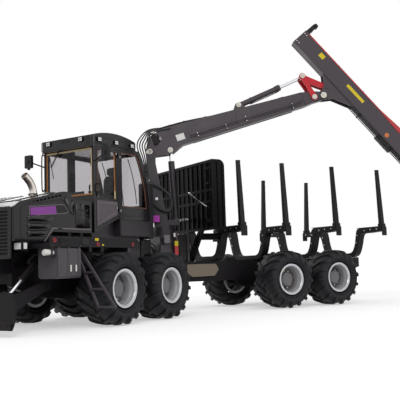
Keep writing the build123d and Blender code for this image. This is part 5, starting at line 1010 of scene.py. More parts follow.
class FORWARDER_OT_hood(bpy.types.Operator):
    """Makes the hood's raised edges, louvres, blank signs, top panel, latches and the grille's trim"""

    bl_idname = "forwarder.hood"
    bl_label = "Hood"

    def execute(self, context):
        ridge = smooth_path([(x, HOOD_SIDE, z) for x, z in HOOD_RIDGE], 5)
        shells = [tube(ridge, np.linspace(0.006, 0.014, len(ridge)), 8)]
        for back, low in ((3.800, 1.885), (3.860, 1.755), (3.930, 1.625)):
            shells.append(scoop(back - 0.03, low - 0.005, low + 0.105))
        shells.append(pressing(corners(2.80, 2.27, 3.19, 1.80), HOOD_SIDE, 0.009, 0.005, 0.05))
        shells.append(pressing([(3.22, 2.29), (3.42, 2.385), (3.50, 2.30), (3.36, 2.10), (3.22, 2.02)],
                               HOOD_SIDE, 0.014, 0.008, 0.05))
        piece("hood_pressings", both_sides(shells), "body_enamel", "front_body", smooth=50)
        edging = [(3.967, 1.548), (3.995, 1.548), (3.79, 1.792), (2.78, 1.800), (2.78, 1.772),
                  (3.772, 1.764)]
        shells = [pressing(edging, HOOD_SIDE, 0.012, 0.004)]
        frame_line = [(4.335, 1.972), (4.335, 2.138), (3.560, 2.218), (3.480, 2.212), (3.365, 2.102),
                      (3.430, 2.060)]
        shells.append(band(frame_line, 0.010, HOOD_SIDE + SLIGHT_GAP, HOOD_SIDE + 0.005, 0.01))
        piece("hood_edging", both_sides(shells), "panel_edge", "front_body")
        sign = [(4.303, 1.988), (4.303, 2.117), (3.700, 2.180), (3.676, 2.045)]
        piece("hood_sign", both_sides([plate(sign, HOOD_SIDE)]), "sign_film", "front_body")
        end = [(3.680, 2.055), (3.696, 2.180), (3.560, 2.200), (3.490, 2.195), (3.395, 2.100),
               (3.440, 2.075)]
        piece("hood_sign_end", both_sides([plate(end, HOOD_SIDE, 0.003)]), "moulded_black", "front_body")
        # painted shade: thin black strips on the hood's side and edging stand for the shade inside its
        # slots and vents
        slots = [slab([(3.545, 1.770), (3.668, 1.768), (3.668, 1.790), (3.545, 1.792)], HOOD_SIDE + 0.010,
                      HOOD_SIDE + 0.0135, 0.001, 0.006)]
        for step in range(4):
            x = 2.86 + 0.072 * step
            slots.append(block((x, HOOD_SIDE + 0.008, 2.12), (x + 0.04, HOOD_SIDE + 0.012, 2.16), 0.001))
        for step in range(7):
            z = 1.86 + 0.03 * step
            slots.append(block((2.84, HOOD_SIDE + 0.0085, z), (3.14, HOOD_SIDE + 0.0125, z + 0.012),
                               0.001))
        piece("hood_slot_shade", both_sides(slots), "moulded_black", "front_body")
        self.top()
        self.grille()
        return {"FINISHED"}

    def top(self):
        """The hood's top panel with its slots and screws, and the exhaust's collar."""
        lean = shift(3.54, 0, 2.450) @ turn("Y", math.degrees(math.atan2(2.450 - 2.215, 1.0)))
        length = math.hypot(1.0, 0.235)
        shells = [slab(corners(0.06, -0.50, length - 0.06, 0.50), GAP, 0.016, 0.008, 0.05, "XY")]
        for step in range(12):
            x = 0.30 + 0.05 * step
            shells.append(block((x, -0.40, 0.014), (x + 0.026, 0.10, 0.026), 0.004))
        for y in (-0.62, 0.62):
            for x in (0.10, length - 0.12):
                shells.append(block((x, y - 0.04, GAP), (x + 0.07, y + 0.04, 0.018), 0.005))
        piece("hood_top_panel", shells, "body_enamel", "front_body", FRONT @ lean)
        screws = [drum((x, y, 0.010), (x, y, 0.022), 0.012, 6, 0.003)
                  for x in np.linspace(0.10, length - 0.10, 6) for y in (-0.47, 0.47)]
        piece("hood_top_screws", screws, "zinc_plate", "front_body", FRONT @ lean)
        piece("exhaust_collar", [tube([(3.70, 0.20, 2.425), (3.70, 0.20, 2.445)], [0.098, 0.086], 28)],
              "moulded_black", "front_body")

    def grille(self):
        """The grille's frame, bars and bolts, and the dark core behind it."""
        front = 4.730 + GAP
        shells = [band(corners(-0.735, 1.250, 0.735, 2.118), 0.028,
                       front - 0.012, front + 0.012, 0.04, "YZ")]
        for y in (-0.225, 0.225):
            shells.append(block((front, y - 0.016, 1.30), (front + 0.010, y + 0.016, 2.07), 0.004))
        shells.append(block((front + 0.002, -0.10, 1.66), (front + 0.016, 0.10, 1.71), 0.006))
        piece("grille_trim", shells, "moulded_black", "front_body")
        bolts = []
        for y in (-0.69, 0.69):
            for z in np.linspace(1.32, 2.05, 5):
                bolts.append(tube([(front + 0.002, y, z), (front + 0.009, y, z)], 0.010, 8))
        piece("grille_bolts", bolts, "tank_enamel", "front_body")
        core = [block((4.700, -0.66, 1.33), (4.7003, 0.66, 2.05), 0.0001)]
        piece("grille_core", core, "cast_iron", "front_body")


class FORWARDER_OT_walkways(bpy.types.Operator):
    """Makes the walkways' studs, eyes, bolts and blank plates, the tank's straps and the washer bottle"""

    bl_idname = "forwarder.walkways"
    bl_label = "Walkways and tanks"

    def execute(self, context):
        side = TANK_SIDE
        rings, yellow, bolts, dark = [], [], [], []
        for x, z in ((4.252, 1.542), (3.155, 1.485), (2.142, 1.490)):
            rings.append(collar(x, side, z, 0.036, 0.024, 0.010, 28))
            dark.append(cap(x, side, z, 0.022, 0.006, 20))
        for x, z, half, tall in ((3.185, 1.570, 0.048, 0.024), (3.017, 1.473, 0.026, 0.014)):
            yellow.append(plate(corners(x - half, z - tall, x + half, z + tall), side, 0.003, 0.001,
                                0.004))
        for x in (2.02, 2.20, 2.42, 2.64, 2.90, 3.30, 3.52, 3.74, 4.16, 4.31):
            bolts.append(cap(x, side, 1.590, 0.010, 0.008, 10))
        for x in (2.00, 2.46, 2.95, 3.36, 3.62, 4.30):
            bolts.append(cap(x, side, 1.448, 0.012, 0.009, 10))
        bolts.append(cap(1.975, side, 1.575, 0.034, 0.020, 20))
        dark.append(plate(corners(3.84, 1.452, 4.12, 1.596), side, 0.012, 0.004, 0.014))
        dark.append(plate(corners(3.40, 1.47, 3.58, 1.575), side, 0.010, 0.004, 0.014))
        for step in range(9):
            x = 3.855 + 0.030 * step
            dark.append(slab(corners(x, 1.47, x + 0.012, 1.578), side + 0.010, side + 0.018, 0.002))
        piece("board_eyes", both_sides(rings), "red_film", "front_body")
        piece("board_plates", both_sides(yellow), "yellow_film", "front_body")
        piece("board_bolts", both_sides(bolts), "tank_enamel", "front_body")
        piece("board_boxes", both_sides(dark), "moulded_black", "front_body")
        studs = []
        for x in np.arange(1.99, 4.33, 0.085):
            for y in np.arange(0.80, 1.20, 0.075):
                ring = collar(0, 0, 0, 0.020, 0.010, 0.005, 8)
                studs.append((ring[0][:, [0, 2, 1]] + np.array((x, y, 1.4901)), ring[1]))
        piece("walkway_studs", both_sides(studs), "frame_enamel", "front_body")
        self.tank()
        return {"FINISHED"}

    def tank(self):
        """The side tanks' straps and latches, and the washer bottle in its cradle."""
        straps = []
        for x in (3.665, 3.925, 4.150):
            straps.append(pressing(corners(x - 0.018, 0.925, x + 0.018, 1.425), TANK_SIDE, 0.008, 0.003))
        straps.append(pressing(corners(3.955, 0.93, 4.185, 1.40), TANK_SIDE, 0.012, 0.005, 0.02))
        piece("tank_panels", both_sides(straps), "tank_enamel", "front_body")
        lugs = []
        for x in (3.745, 3.875):
            lugs.append(pressing(corners(x - 0.014, 1.010, x + 0.014, 1.125),
                             TANK_SIDE, 0.022, 0.006, 0.012))
        piece("tank_latches", both_sides(lugs), "white_film", "front_body")
        bottle = [(0.0, 0.0), (0.0, 0.045), (0.02, 0.056), (0.17, 0.056), (0.20, 0.040), (0.225, 0.024),
                  (0.225, 0.0)]
        lid = [(0.225, 0.0), (0.225, 0.027), (0.262, 0.025), (0.266, 0.0)]
        for name, profile, count, coat in (("washer_bottle", bottle, 28, "white_film"),
                                           ("washer_cap", lid, 24, "red_film")):
            points, faces = turned_shell(profile, count)
            lying = points[:, [1, 0, 2]] * (-1, 1, 1) + np.array((4.420, 1.170, 1.335))
            piece(name, [(lying, faces)], coat, "front_body")
        cradle = [block((4.20, 1.110, 1.262), (4.41, 1.232, 1.278), 0.004),
                  block((4.27, 1.220, 1.262), (4.31, 1.232, 1.432), 0.004)]
        piece("washer_cradle", cradle, "moulded_black", "front_body")


class FORWARDER_OT_front_end(bpy.types.Operator):
    """Makes the front lamps' lenses, the blade's cutting edge and hoses, and what stands behind the cab"""

    bl_idname = "forwarder.front_end"
    bl_label = "Front end"

    def execute(self, context):
        lenses, shells = [], []
        for y in (0.700, -0.700):
            lens = corners(y - 0.085, 1.405, y + 0.085, 1.517)
            lenses.append(slab(lens, 4.5403, 4.549, 0.004, 0.025, "YZ"))
            rim = corners(y - 0.105, 1.388, y + 0.105, 1.534)
            shells.append(band(rim, 0.018, 4.538, 4.556, 0.03, "YZ"))
        flank = corners(4.445, 1.410, 4.520, 1.512)
        lenses += both_sides([slab(flank, 0.8103, 0.817, 0.003, 0.02)])
        piece("front_lenses", lenses, "lamp_lens", "front_body")
        shells.append(block((0.38, -0.40, 1.1305), (0.76, 0.40, 1.660), 0.02))
        shells.append(block((0.50, -0.36, 1.655), (0.755, 0.36, 2.280), 0.03))
        shells.append(block((0.560, 0.350, 1.660), (0.745, 0.620, 2.880), 0.03))
        for z in np.linspace(2.30, 2.80, 9):
            shells.append(block((0.548, 0.380, z), (0.575, 0.590, z + 0.026), 0.005))
        for y in (-0.24, -0.08, 0.08, 0.24):
            shells.append(drum((0.44, y, 1.650), (0.44, y, 1.730), 0.030, 16, 0.006))
        piece("front_boxes", shells, "moulded_black", "front_body")
        guard = [(0.480, 1.690), (0.900, 1.690), (0.760, 2.020), (0.620, 2.020)]
        piece("rear_guards", both_sides([slab(guard, 0.520, 0.530, 0.003, 0.02)]),
              "panel_enamel", "front_body")
        stay = tube([(0.60, 0.545, 2.03), (0.86, 0.545, 1.62), (0.93, 0.545, 1.45)], 0.022, 10)
        piece("rear_stays", both_sides([stay]), "moulded_black", "front_body")
        lamp = [drum((1.00, 0.46, 1.60), (1.00, 0.50, 1.60), 0.050, 24, 0.008)]
        piece("round_lamp", both_sides(lamp), "lamp_lens", "front_body")
        shelf = corners(0.80, 1.71, 1.73, 2.015)
        piece("shelf_edges", both_sides([band(shelf, 0.010, 0.6453, 0.651, 0.01)]),
              "shelf_enamel", "front_body")
        self.blade()
        return {"FINISHED"}

    def blade(self):
        """The blade's cutting edge with its bolts, and the hoses to its cylinders."""
        edge = [(4.955, 0.112), (4.985, 0.112), (4.985, 0.250), (4.972, 0.250)]
        shells = [slab(edge, -0.99, 0.99, 0.003)]
        piece("blade_edge", shells, "cast_iron", "blade")
        bolts = [tube([(4.98, y, 0.19), (4.992, y, 0.19)], 0.018, 6)
                 for y in np.linspace(-0.92, 0.92, 12)]
        piece("blade_bolts", bolts, "cast_iron", "blade")
        hoses = []
        for side in (1, -1):
            for step in (-0.02, 0.02):
                path = smooth_path([(4.02, side * 0.585 + step, 1.33), (4.08, side * 0.50 + step, 1.26),
                                    (4.05, side * 0.42 + step, 1.18), (3.90, side * 0.36 + step, 1.16)])
                hoses.append(tube(path, 0.013, 8))
        piece("blade_hoses", hoses, "hose_rubber", "front_body")


# Crane

COLUMN_HOSES = ((0.260, 4.337), (-0.261, 4.300), (-0.500, 4.114), (-0.575, 3.901), (-0.488, 3.613),
                (-0.402, 3.279), (-0.350, 2.970), (-0.330, 2.600), (-0.330, 2.080))
COLUMN_LOOP = ((-0.291, 2.993), (-0.014, 2.844), (0.168, 2.651), (0.209, 2.438), (0.112, 2.324),
               (-0.073, 2.376), (-0.232, 2.544))
TOP_HOSE = ((0.30, 0.470), (0.60, 0.462), (1.12, 0.430), (2.20, 0.305), (3.10, 0.272), (3.40, 0.268),
            (3.52, 0.215))
JIB_FOOT = (2.337, 0.415)   # of the jib's cylinder, on the main boom
ROCKER_PIN = (4.003, 0.597)
GRAPPLE_HOSE = ((0.10, 1.0, 0.28), (0.19, 1.2, 0.05), (0.21, 1.3, -0.22), (0.15, 1.1, -0.42),
                (0.06, 0.8, -0.50))        # back from the tip, share of its Y, up
BOOM_SIDE = 0.130
JIB_SIDE = 0.150


class FORWARDER_OT_column(bpy.types.Operator):
    """Makes the crane column's hoses, valve box, lamp, pin caps and blank sign"""

    bl_idname = "forwarder.column"
    bl_label = "Crane column"

    def execute(self, context):
        radius = context.scene.forwarder_sizes.hose_radius
        for number, y in enumerate((-0.150, -0.095, -0.040, 0.015, 0.070)):
            nearer = 1.0 - 0.13 * (4 - number) * np.array((0.2, 0.5, 1.0, 1.0, 0.9, 0.5, 0.2, 0.1, 0.0))
            points = np.array([(x, y, z) for x, z in COLUMN_HOSES])
            points[:, 0] = -0.10 + (points[:, 0] + 0.10) * nearer
            points[:, 2] = 3.80 + (points[:, 2] - 3.80) * np.where(points[:, 2] > 3.80, nearer, 1.0)
            line = smooth_path(points, 8)
            hose = piece(f"column_hose_{number}", [tube(line, radius * 1.15, 10)], "hose_rubber", None,
                         CRANE, smooth=80)
            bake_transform(hose)
        loop = smooth_path([(x, -0.285, z) for x, z in COLUMN_LOOP], 8)
        loop[:, 1] += 0.04 * np.linspace(-1, 1, len(loop)) ** 2
        piece("column_loop", [tube(loop, 0.035, 14)], "braided_hose", "column", smooth=80)
        clamps = [block((-0.315, -0.270, 2.960), (-0.262, -0.200, 3.020), 0.01),
                  block((-0.262, -0.270, 2.520), (-0.205, -0.200, 2.575), 0.01),
                  block((-0.370, -0.110, 2.620), (-0.240, 0.080, 2.670), 0.012),
                  block((-0.470, -0.120, 3.230), (-0.240, 0.100, 3.290), 0.012)]
        piece("column_clamps", clamps, "moulded_black", "column")
        lens = drum((-0.137, -0.262, 2.612), (-0.137, -0.292, 2.612), 0.034, 24, 0.006)
        piece("column_lamp", [lens], "lamp_lens", "column")
        sign = rectangle(-0.160, 2.150, 0.155, 0.152)
        back = rectangle(-0.160, 2.150, 0.180, 0.176)
        piece("column_sign", other_side([plate(sign, 0.296)]), "magenta_film", "column")
        piece("column_sign_back", other_side([slab(back, 0.250, 0.2962, 0.004, 0.02)]), "moulded_black",
              "column")
        self.boom_end()
        return {"FINISHED"}

    def boom_end(self):
        """Pin caps, valve box and fittings at the root of the boom."""
        caps = both_sides([collar(0, 0.176, 0, 0.062, 0.030, 0.014), cap(0, 0.176, 0, 0.016, 0.022)])
        teardrop = [(0.045, -0.045), (0.060, 0.020), (0.0, 0.066), (-0.075, 0.045), (-0.105, 0.010),
                    (-0.080, -0.030), (-0.020, -0.066)]
        caps += both_sides([slab(teardrop, 0.1703, 0.178, 0.003, 0.03)])
        piece("boom_pin_caps", caps, "pin_cap", "column", BOOM)
        eye = both_sides([collar(0.463, 0.150, -0.111, 0.066, 0.030, 0.014),
                          cap(0.463, 0.150, -0.111, 0.030, 0.022)])
        piece("lift_eye_caps", eye, "pin_cap", "boom")
        box = [block((0.146, -0.205, 0.118), (0.245, -0.1305, 0.372), 0.008)]
        for x in (0.165, 0.195, 0.225):
            box.append(drum((x, -0.168, 0.370), (x, -0.168, 0.400), 0.012, 6, 0.003))
        box.append(block((0.262, -0.175, 0.150), (0.300, -0.1305, 0.330), 0.006))
        piece("boom_valve", box, "cast_iron", "boom")
        fittings = [drum((x, -0.168, 0.398), (x, -0.168, 0.430), 0.010, 6, 0.002)
                    for x in (0.165, 0.195, 0.225)]
        dots = [cap(0.30 + 0.020 * a, 0.1305, 0.206 + 0.020 * b, 0.006, 0.005, 8) for a in range(3)
                for b in range(3)]
        fittings += other_side(dots)
        piece("boom_fittings", fittings, "zinc_plate", "boom")


class FORWARDER_OT_main_boom(bpy.types.Operator):
    """Makes the main boom's pipes, clamps, strips, blank plate and pin caps"""

    bl_idname = "forwarder.main_boom"
    bl_label = "Main boom"

    def execute(self, context):
        radius = context.scene.forwarder_sizes.hose_radius
        blank = rectangle(0.786, 0.112, 0.200, 0.150)
        piece("boom_plate", both_sides([plate(blank, BOOM_SIDE)]), "white_film", "boom")
        rail = strip((1.057, -0.078), (3.546, -0.101), 0.010)
        weld = strip((0.80, 0.150), (3.70, 0.060), 0.006)
        flange = [slab(rail, BOOM_SIDE - 0.002, BOOM_SIDE + 0.010, 0.003)]
        flange.append(slab(weld, BOOM_SIDE - 0.002, BOOM_SIDE + 0.003, 0.002))
        patch = [(2.20, 0.330), (2.62, 0.290), (2.50, -0.070), (2.18, -0.070)]
        flange.append(slab(patch, BOOM_SIDE - 0.002, BOOM_SIDE + 0.010, 0.003, 0.04))
        elbow = [(3.83, -0.075), (4.36, -0.055), (4.40, 0.06), (4.20, 0.15), (3.86, 0.235)]
        flange.append(slab(elbow, BOOM_SIDE - 0.002, BOOM_SIDE + 0.012, 0.003, 0.05))
        piece("boom_strips", both_sides(flange), "crane_enamel", "boom")
        clamps, bolts = [], []
        for x, high, low in ((1.19, 0.08, 0.0), (1.89, 0.05, -0.04), (2.39, 0.09, -0.015),
                             (3.54, 0.046, -0.067)):
            outline = rectangle(x, (high + low) / 2, 0.034, high - low + 0.052)
            clamps.append(slab(outline, BOOM_SIDE, BOOM_SIDE + 0.034, 0.006, 0.01))
            for z in (high, low):
                bolts.append(cap(x, BOOM_SIDE + 0.033, z, 0.011, 0.012, 6))
        piece("boom_clamps", both_sides(clamps), "crane_enamel", "boom")
        piece("boom_clamp_bolts", both_sides(bolts), "zinc_plate", "boom")
        pipes = []
        for z in (0.062, 0.022):
            path = [(x, BOOM_SIDE + 0.016, z + rise) for x, rise in (
                (1.00, 0.015), (1.19, 0.0), (2.39, -0.012), (3.54, -0.05), (3.80, -0.02))]
            pipes.append(tube(smooth_path(path, 5), 0.0095, 10))
        piece("boom_pipes", both_sides(pipes), "crane_enamel", "boom")
        top, blocks = [], []
        for y in (-0.085, -0.050, 0.050, 0.085):
            path = smooth_path([(x, y, z) for x, z in TOP_HOSE], 6)
            top.append(tube(path, radius, 10))
        piece("boom_top_hoses", top, "hose_rubber", "boom", smooth=80)
        for x, z in ((0.62, 0.455), (0.985, 0.440), (1.50, 0.385), (2.20, 0.295), (3.30, 0.250)):
            blocks.append(slab(corners(-0.105, z - 0.060, 0.105, z + 0.024),
                               x - 0.020, x + 0.020, 0.006, 0.012, "YZ"))
        piece("boom_top_clamps", blocks, "moulded_black", "boom")
        caps = []
        for x, side, z, ring in ((JIB_FOOT[0], 0.132, JIB_FOOT[1], 0.060), (4.109, 0.179, 0.030, 0.060),
                                 (BOOM_LENGTH, 0.179, 0.0, 0.072)):
            caps.append(collar(x, side, z, ring, ring * 0.45, 0.012))
            caps.append(cap(x, side, z, ring * 0.44, 0.018))
        piece("boom_end_caps", both_sides(caps), "pin_cap", "boom")
        x, z = ROCKER_PIN
        rocker = [collar(x, 0.179, z, 0.060, 0.028, 0.012), cap(x, 0.179, z, 0.027, 0.018)]
        piece("rocker_caps", both_sides(rocker), "pin_cap", "rocker")
        foot, head = (np.array((x, 0.0, z)) for x, z in (JIB_FOOT, ROCKER_PIN))
        ahead = (head - foot) / np.linalg.norm(head - foot)
        down = np.array((ahead[2], 0.0, -ahead[0]))
        pipe = [foot + ahead * 0.30 + down * 0.060, foot + ahead * 0.34 + down * 0.080,
                foot + ahead * 0.98 + down * 0.080, foot + ahead * 1.03 + down * 0.060]
        shells = [tube(smooth_path(pipe, 5), 0.011, 10)]
        for share in (0.30, 0.86):
            spot = foot + ahead * share * 1.15
            shells.append(tube([spot - ahead * 0.014, spot + ahead * 0.014], 0.074, 24))
        shells.append(tube([foot + ahead * 1.02, foot + ahead * 1.10], [0.078, 0.075], 24))
        piece("jib_barrel_pipe", shells, "crane_enamel", "jib_barrel")
        return {"FINISHED"}


class FORWARDER_OT_jib(bpy.types.Operator):
    """Makes the outer boom's stripes, blank labels, pipes, brackets and the hoses down to the grapple"""

    bl_idname = "forwarder.jib"
    bl_label = "Outer boom"

    def execute(self, context):
        red = [plate(strip((-1.311, 0.762), (1.214, 0.766), 0.013), JIB_SIDE, 0.007)]
        red.append(plate([(1.214, 0.750), (1.866, 0.715), (1.880, 0.826), (1.780, 0.826), (1.214, 0.780)],
                         JIB_SIDE - 0.010, 0.022, 0.003))
        piece("jib_stripe", both_sides(red), "red_film", "outer_boom")
        yellow = [plate(rectangle(-0.720, 0.630, 0.150, 0.110), JIB_SIDE)]
        yellow.append(plate(rectangle(0.480, 0.600, 0.560, 0.075), JIB_SIDE))
        piece("jib_labels", both_sides(yellow), "yellow_film", "outer_boom")
        orange = [cap(1.711, JIB_SIDE + GAP, 0.470, 0.055, 0.003)]
        piece("jib_label_small", both_sides(orange), "orange_film", "outer_boom")
        edges = [slab(strip((1.90, 0.770), (2.86, 0.770), 0.008), JIB_SIDE - 0.002, JIB_SIDE + 0.006,
                      0.002)]
        edges.append(slab(strip((-1.430, 0.374), (2.86, 0.374), 0.008), JIB_SIDE - 0.002,
                          JIB_SIDE + 0.006, 0.002))
        piece("jib_flanges", both_sides(edges), "crane_enamel", "outer_boom")
        pipes = []
        for step in (0.0, 0.032):
            path = [(x, 0.060, z - step) for x, z in (
                (0.30, 0.352), (0.779, 0.340), (1.500, 0.338), (2.60, 0.345))]
            pipes.append(tube(smooth_path(path, 5), 0.011, 10))
        piece("jib_pipes", both_sides(pipes), "hose_rubber", "outer_boom")
        brackets = []
        for x in (0.90, 1.60, 2.02, 2.50):
            brackets.append(block((x, -0.100, 0.290), (x + 0.040, 0.100, 0.366), 0.008))
        brackets.append(block((1.560, -0.085, 0.262), (2.050, 0.085, 0.302), 0.010))
        tail = [(-1.438, 0.778), (-1.280, 0.778), (-1.345, 0.880), (-1.335, 1.030), (-1.310, 1.045),
                (-1.325, 1.118), (-1.420, 1.118), (-1.438, 1.030)]
        brackets.append(slab(tail, -0.055, 0.055, 0.006, 0.02))
        brackets.append(drum((-1.378, -0.085, 1.072), (-1.378, 0.085, 1.072), 0.038, 20, 0.006))
        brackets.append(block((-1.40, -0.075, 0.900), (-1.330, 0.075, 0.960), 0.008))
        piece("jib_brackets", brackets, "moulded_black", "outer_boom")
        spots = [(x, z) for x in (2.76, 2.87) for z in (0.43, 0.57, 0.71)]
        spots += [(x, z) for x in (-1.40, -1.33) for z in (0.44, 0.70)]
        bolts = [cap(x, JIB_SIDE + GAP, z, 0.014, 0.012, 6) for x, z in spots]
        piece("jib_bolts", both_sides(bolts), "zinc_plate", "outer_boom")
        self.hoses()
        return {"FINISHED"}

    def hoses(self):
        """The hoses along the outer boom, and those that hang to the grapple."""
        radius = bpy.context.scene.forwarder_sizes.hose_radius
        spine = ((-1.330, 0.800), (-1.10, 0.795), (0.20, 0.795), (1.20, 0.795), (2.10, 0.795),
                 (2.50, 0.795))
        path = smooth_path([(x, 0.0, z) for x, z in spine], 6)
        lines = [tube(path + np.array((0.0, y, 0.0)), radius, 10) for y in (-0.05, -0.018, 0.018, 0.05)]
        piece("jib_hoses", lines, "hose_rubber", "outer_boom", smooth=80)
        clamps = [block((x, -0.080, 0.775), (x + 0.04, 0.080, 0.818), 0.008)
                  for x in (-0.30, 0.55, 1.40, 2.20)]
        piece("jib_hose_clamps", clamps, "moulded_black", "outer_boom")
        tip = at(np.linalg.inv(CRANE) @ JIB, (3.47, 0.0, 0.572))
        for number, y in enumerate((-0.105, 0.105)):
            points = [(tip[0] - back, y * wide, tip[2] + up) for back, wide, up in GRAPPLE_HOSE]
            line = tube(smooth_path(points, 8), radius, 10)
            hose = piece(f"grapple_hose_{number}", [line], "hose_rubber", None, CRANE, smooth=80)
            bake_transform(hose)


# Gate, bunks, rear frame and the pivot's hoses

BUNK_AT = [-1.643 - share * 4.468 for share in (0.0, 0.2854, 0.6423, 1.0)]
BUNK_CURVES = (            # Y and Z of the beams' upper and lower curve
    ((0.330, 1.270), (0.430, 1.300), (0.500, 1.380), (0.560, 1.520), (0.600, 1.700), (0.635, 1.850),
     (0.700, 1.912), (0.800, 1.9245)),
    ((0.400, 1.163), (0.530, 1.205), (0.620, 1.320), (0.690, 1.500), (0.735, 1.660), (0.780, 1.750),
     (0.860, 1.782), (1.000, 1.778)),
)


class FORWARDER_OT_gate(bpy.types.Operator):
    """Makes the gate's closing sheets, strut, lamps and blank plates"""

    bl_idname = "forwarder.gate"
    bl_label = "Gate"

    def execute(self, context):
        sheets = []
        low, high = 1.842, 3.418
        sheets.append(slab(corners(1.0290, low, 1.2410, high), -1.042, -1.018, 0.003, 0.0, "YZ"))
        for y in (1.085, 1.185):
            sheets.append(block((-1.050, y - 0.012, low + 0.02), (-1.006, y + 0.012, high - 0.02), 0.004))
        for z in (2.055, 2.480, 2.905, 3.240):
            sheets.append(block((-1.054, 1.0285, z - 0.020), (-1.0, 1.242, z + 0.020), 0.004))
        wing = [(-1.030, 1.860), (-1.310, 1.860), (-1.310, 3.280), (-1.200, 3.395), (-1.030, 3.395)]
        sheets.append(slab(wing, 1.258, 1.270, 0.003, 0.02))
        piece("gate_sheets", both_sides(sheets), "gate_sheet", "rear_body")
        strut = smooth_path([(-0.965, 0.406, 2.745), (-0.930, 0.420, 2.735), (-0.930, 1.060, 2.395),
                             (-0.965, 1.112, 2.375)], 5)
        piece("gate_strut", [tube(strut, 0.010, 12)], "hard_chrome", "rear_body")
        bolts = []
        for y in (0.28, 0.56, 0.84, 1.0, 1.26):
            for z in (1.90, 2.48, 2.74, 3.36):
                bolts.append(tube([(-0.998, y, z), (-0.990, y, z)], 0.012, 6))
        piece("gate_bolts", both_sides(bolts), "cast_iron", "rear_body")
        cooler = [block((-0.950, -0.300, 1.1603), (-0.660, 0.340, 1.780), 0.02)]
        for z in np.linspace(1.24, 1.70, 9):
            cooler.append(block((-0.93, 0.335, z), (-0.68, 0.350, z + 0.026), 0.005))
        piece("rear_cooler", cooler, "moulded_black", "rear_body")
        post = [block((-0.62, 0.352, 1.1603), (-0.56, 0.372, 1.850), 0.004),
                block((-0.900, -0.07, 2.100), (-0.865, 0.380, 2.160), 0.008),
                block((-0.900, 0.340, 1.1603), (-0.865, 0.380, 2.110), 0.006)]
        piece("gate_posts", post, "crane_enamel", "rear_body")
        spots = [tube([(-0.8648, y, 2.130), (-0.857, y, 2.130)], 0.017, 16)
                 for y in (-0.03, 0.09, 0.21, 0.33)]
        spots.append(cap(-0.8825, 0.380, 2.130, 0.014, 0.008, 16))
        piece("gate_lamps", spots, "lamp_lens", "rear_body")
        beige = [slab(corners(-0.384, 1.588, -0.233, 1.770), 0.396, 0.404, 0.002, 0.01)]
        piece("post_panel", beige, "panel_edge", "rear_body")
        for name, outline, coat in (
            ("post_plate", corners(-0.546, 1.724, -0.496, 1.816), "white_film"),
            ("post_sign_low", corners(-0.613, 1.312, -0.517, 1.520), "red_film"),
            ("post_sign_high", corners(-0.613, 1.522, -0.517, 1.633), "yellow_film"),
        ):
            piece(name, [slab(outline, 0.372, 0.378, 0.002)], coat, "rear_body")
        return {"FINISHED"}


class FORWARDER_OT_bunks(bpy.types.Operator):
    """Makes the bunks, their bolts and wear plates, the stakes' caps and sockets and the side plates"""

    bl_idname = "forwarder.bunks"
    bl_label = "Bunks and rear frame"

    def execute(self, context):
        bolts, caps, sockets, wear = [], [], [], []
        for x in BUNK_AT:
            for y, z in ((1.154, 1.866), (0.944, 1.850), (1.380, 1.866), (0.675, 1.740), (0.625, 1.540)):
                for face in (1, -1):
                    bolts.append(tube([(x + face * 0.1002, y, z), (x + face * 0.113, y, z)], 0.017, 8))
            caps.append(block((x - 0.050, 1.350, 3.3935), (x + 0.050, 1.428, 3.412), 0.008))
            caps.append(block((x - 0.078, 1.396, 1.9253), (x + 0.078, 1.526, 2.000), 0.006))
            sockets.append(slab(corners(x - 0.085, 1.690, x + 0.085, 1.915), 1.5303, 1.548, 0.004, 0.02))
            wear.append(slab(corners(0.640, 1.9253, 1.380, 1.936), x - 0.090, x + 0.090,
                             0.003, 0.0, "YZ"))
        piece("bunk_bolts", both_sides(bolts), "zinc_plate", "rear_body")
        self.beams()
        piece("stake_caps", both_sides(caps), "frame_enamel", "rear_body")
        piece("stake_sockets", both_sides(sockets), "frame_enamel", "rear_body")
        piece("bunk_wear_plates", both_sides(wear), "cast_iron", "rear_body")
        clay = [(-0.775, 1.090), (-1.560, 1.090), (-1.640, 0.960), (-1.520, 0.810), (-0.900, 0.800),
                (-0.775, 0.900)]
        shells = [slab(clay, 0.4703, 0.482, 0.003, 0.03)]
        piece("rear_side_plates", both_sides(shells), "clay_enamel", "rear_body")
        return {"FINISHED"}

    def beams(self):
        """The bowl-shaped beams: an upper and a lower curve, mirrored in Y and carried along X."""
        upper, lower = (smooth_path(curve, 3) for curve in BUNK_CURVES)
        right = [*upper, (1.529, 1.9245), (1.529, 1.802), *lower[::-1]]
        outline = np.array([*right, *[(-y, z) for y, z in right[::-1]]])
        shells = [slab(outline, x - 0.0995, x + 0.0995, 0.010, 0.0, "YZ") for x in BUNK_AT]
        beams = piece("bunk_beams", shells, "frame_enamel", "rear_body")
        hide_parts("bunks")


class FORWARDER_OT_pivot_hoses(bpy.types.Operator):
    """Makes the hoses over the frame's pivot, curved from its front half to its rear half"""

    bl_idname = "forwarder.pivot_hoses"
    bl_label = "Pivot hoses"

    def execute(self, context):
        radius = context.scene.forwarder_sizes.hose_radius
        for number, y in enumerate((-0.12, -0.04, 0.04, 0.12)):
            lifted = 0.05 * (number % 2)
            front = at(FRONT, (0.37, y, 1.30))
            lift = at(FRONT, (0.16, y * 1.3, 1.52 + lifted))
            fall = at(REAR, (-0.10, y * 1.3, 1.50 + 0.8 * lifted))
            rear = at(REAR, (-0.21, y, 1.30))
            line = tube(smooth_path([front, lift, fall, rear], 8), radius * 1.2, 10)
            hose = piece(f"pivot_hose_{number}", [line], "hose_rubber", None, smooth=80)
            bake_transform(hose)
        return {"FINISHED"}


# Stage

